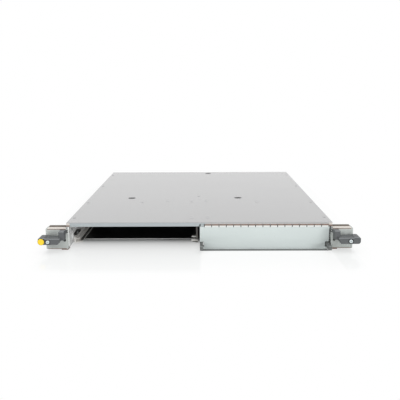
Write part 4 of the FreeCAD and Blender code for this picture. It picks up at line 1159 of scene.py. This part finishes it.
def spring_wire(name, centre, radius, wire, turns, lean, legs):
    """A torsion spring around X: a wound wire with two straight legs."""
    steps, lift = 14, 1.15
    clear_selection()
    bpy.ops.curve.primitive_bezier_curve_add()
    curve = bpy.context.active_object
    curve.name = name
    splines = curve.data.splines
    splines.remove(splines[0])
    spline = splines.new("POLY")
    points = []
    for index in range(int(turns * steps) + 1):
        turn = 2 * math.pi * index / steps
        points.append((centre[0] - lean * wire * lift * index / steps,
                       centre[1] + radius * math.cos(turn), centre[2] + radius * math.sin(turn)))
    first, last = [(end[0], end[1] + leg[0], end[2] + leg[1])
                   for end, leg in zip((points[0], points[-1]), legs)]
    points = [first] + points + [last]
    spline.points.add(len(points) - 1)
    for point, spot in zip(spline.points, points):
        point.co = (spot[0] * MM, spot[1] * MM, spot[2] * MM, 1.0)
    curve.data.dimensions = "3D"
    curve.data.bevel_depth = wire / 2 * MM
    curve.data.bevel_resolution = 2
    curve.data.use_fill_caps = True
    only(curve)
    bpy.ops.object.convert(target="MESH")
    return settle(bpy.context.active_object, name)


class LINECARD_OT_locks(CardPiece):
    """Round the module lock levers and wind their return springs"""
    bl_idname = "linecard.locks"
    bl_label = "Module locks"

    def execute(self, context):
        for side in SIDES:
            lever = "module_lock_lever_" + side
            round_node(lever, "lock_lever_" + side, 0.2)
            round_node("module_lock_plate_" + side, "lock_plate_" + side, 0.15,
                       finish="zinc_sheet")
            inner = inner_outer(side, lever)[0]
            pin_low, pin_high = box_of("module_lock_pin_" + side)
            middle = (pin_low + pin_high) / 2
            middle.x = inner - SIGN[side] * 0.2
            spring = spring_wire("lock_spring_" + side, middle, radius=2.35, wire=0.3,
                                 turns=1.25, lean=SIGN[side], legs=((0.0, -2.6), (5.0, 0.0)))
            fit_extra(smooth(spring, 60.0), "carrier", "pin_steel")
        return {"FINISHED"}


class LINECARD_OT_contacts(CardPiece):
    """Set the gold contacts into the connectors of the rear side and the bays"""
    bl_idname = "linecard.contacts"
    bl_label = "Contacts"

    def execute(self, context):
        connectors, row_pitch, level_pitch = (-95.5, -43.5, 65.5), 6.0, 1.85
        low, high = box_of("backplane_connectors")
        pins = [(middle + (row - 2.5) * row_pitch + offset, high.y - 4.5,
                 low.z + 3.8 + level * level_pitch)
                for middle in connectors for row in range(6) for level in range(5)
                for offset in (-0.7, 0.7)]
        set_contacts("rear_contacts", pins, (0.2, 4.0, 0.35))
        for side in SIDES:
            low, high = box_of("bay_connector_" + side)
            middle = (low.z + high.z) / 2
            pins = [(low.x + 4.6 + index, low.y + 4.6, middle + level)
                    for index in range(int(high.x - low.x - 8.4)) for level in (-0.95, 0.95)]
            set_contacts("bay_contacts_" + side, pins, (0.3, 2.2, 0.06))
        return {"FINISHED"}


def set_contacts(name, middles, half):
    """Copies of one bevelled contact with the given half sizes, one at each middle."""
    model = add_block("contact", (-1.0, -1.0, -1.0), (1.0, 1.0, 1.0))
    bevel_edges(model, above("Y", 0.5), 0.3, 1)
    size = Matrix.Diagonal(half + (1.0,))
    copies = []
    for middle in middles:
        copy = bpy.data.objects.new("contact", model.data.copy())
        bpy.context.scene.collection.objects.link(copy)
        copy.data.transform(Matrix.Translation(Vector(middle) * MM) @ size)
        copies.append(copy)
    bpy.data.objects.remove(model, do_unlink=True)
    fit_extra(join(name, copies), "carrier", "socket_metal", "contact_gold")


PIECES = (LINECARD_OT_finishes, LINECARD_OT_stage, LINECARD_OT_handles, LINECARD_OT_cap,
          LINECARD_OT_captive_screws, LINECARD_OT_latches, LINECARD_OT_tool_holes,
          LINECARD_OT_guide_lips, LINECARD_OT_filler_fingers, LINECARD_OT_edge_fingers,
          LINECARD_OT_gaskets, LINECARD_OT_gasket_tapes, LINECARD_OT_cover_screws,
          LINECARD_OT_sheet_parts, LINECARD_OT_locks, LINECARD_OT_contacts)
GROUPS = {"card_stage": CardStage, "card_finish": CardFinish, "card_detail": CardDetail}


class LINECARD_PT_panel(bpy.types.Panel):
    """The card's pieces and sizes in the sidebar"""
    bl_idname = "LINECARD_PT_panel"
    bl_label = "Line card"
    bl_space_type = "VIEW_3D"
    bl_region_type = "UI"
    bl_category = "Line card"

    def draw(self, context):
        for name, group in GROUPS.items():
            box = self.layout.box()
            for size in group.__annotations__:
                box.prop(getattr(context.scene, name), size)
        for piece in PIECES:
            self.layout.operator(piece.bl_idname)


def register():
    for name, group in GROUPS.items():
        bpy.utils.register_class(group)
        setattr(bpy.types.Scene, name, bpy.props.PointerProperty(type=group))
    for piece in PIECES + (LINECARD_PT_panel,):
        bpy.utils.register_class(piece)


def unregister():
    for piece in (LINECARD_PT_panel,) + PIECES[::-1]:
        bpy.utils.unregister_class(piece)
    for name, group in GROUPS.items():
        delattr(bpy.types.Scene, name)
        bpy.utils.unregister_class(group)


def main():
    register()
    bpy.ops.linecard.finishes()
    bpy.ops.linecard.stage()
    bpy.ops.linecard.handles()
    bpy.ops.linecard.cap()
    bpy.ops.linecard.captive_screws()
    bpy.ops.linecard.latches()
    bpy.ops.linecard.tool_holes()
    bpy.ops.linecard.guide_lips()
    bpy.ops.linecard.filler_fingers()
    bpy.ops.linecard.edge_fingers()
    bpy.ops.linecard.gaskets()
    bpy.ops.linecard.gasket_tapes()
    bpy.ops.linecard.cover_screws()
    bpy.ops.linecard.sheet_parts()
    bpy.ops.linecard.locks()
    bpy.ops.linecard.contacts()
    clear_selection()


if __name__ == "__main__":
    main()
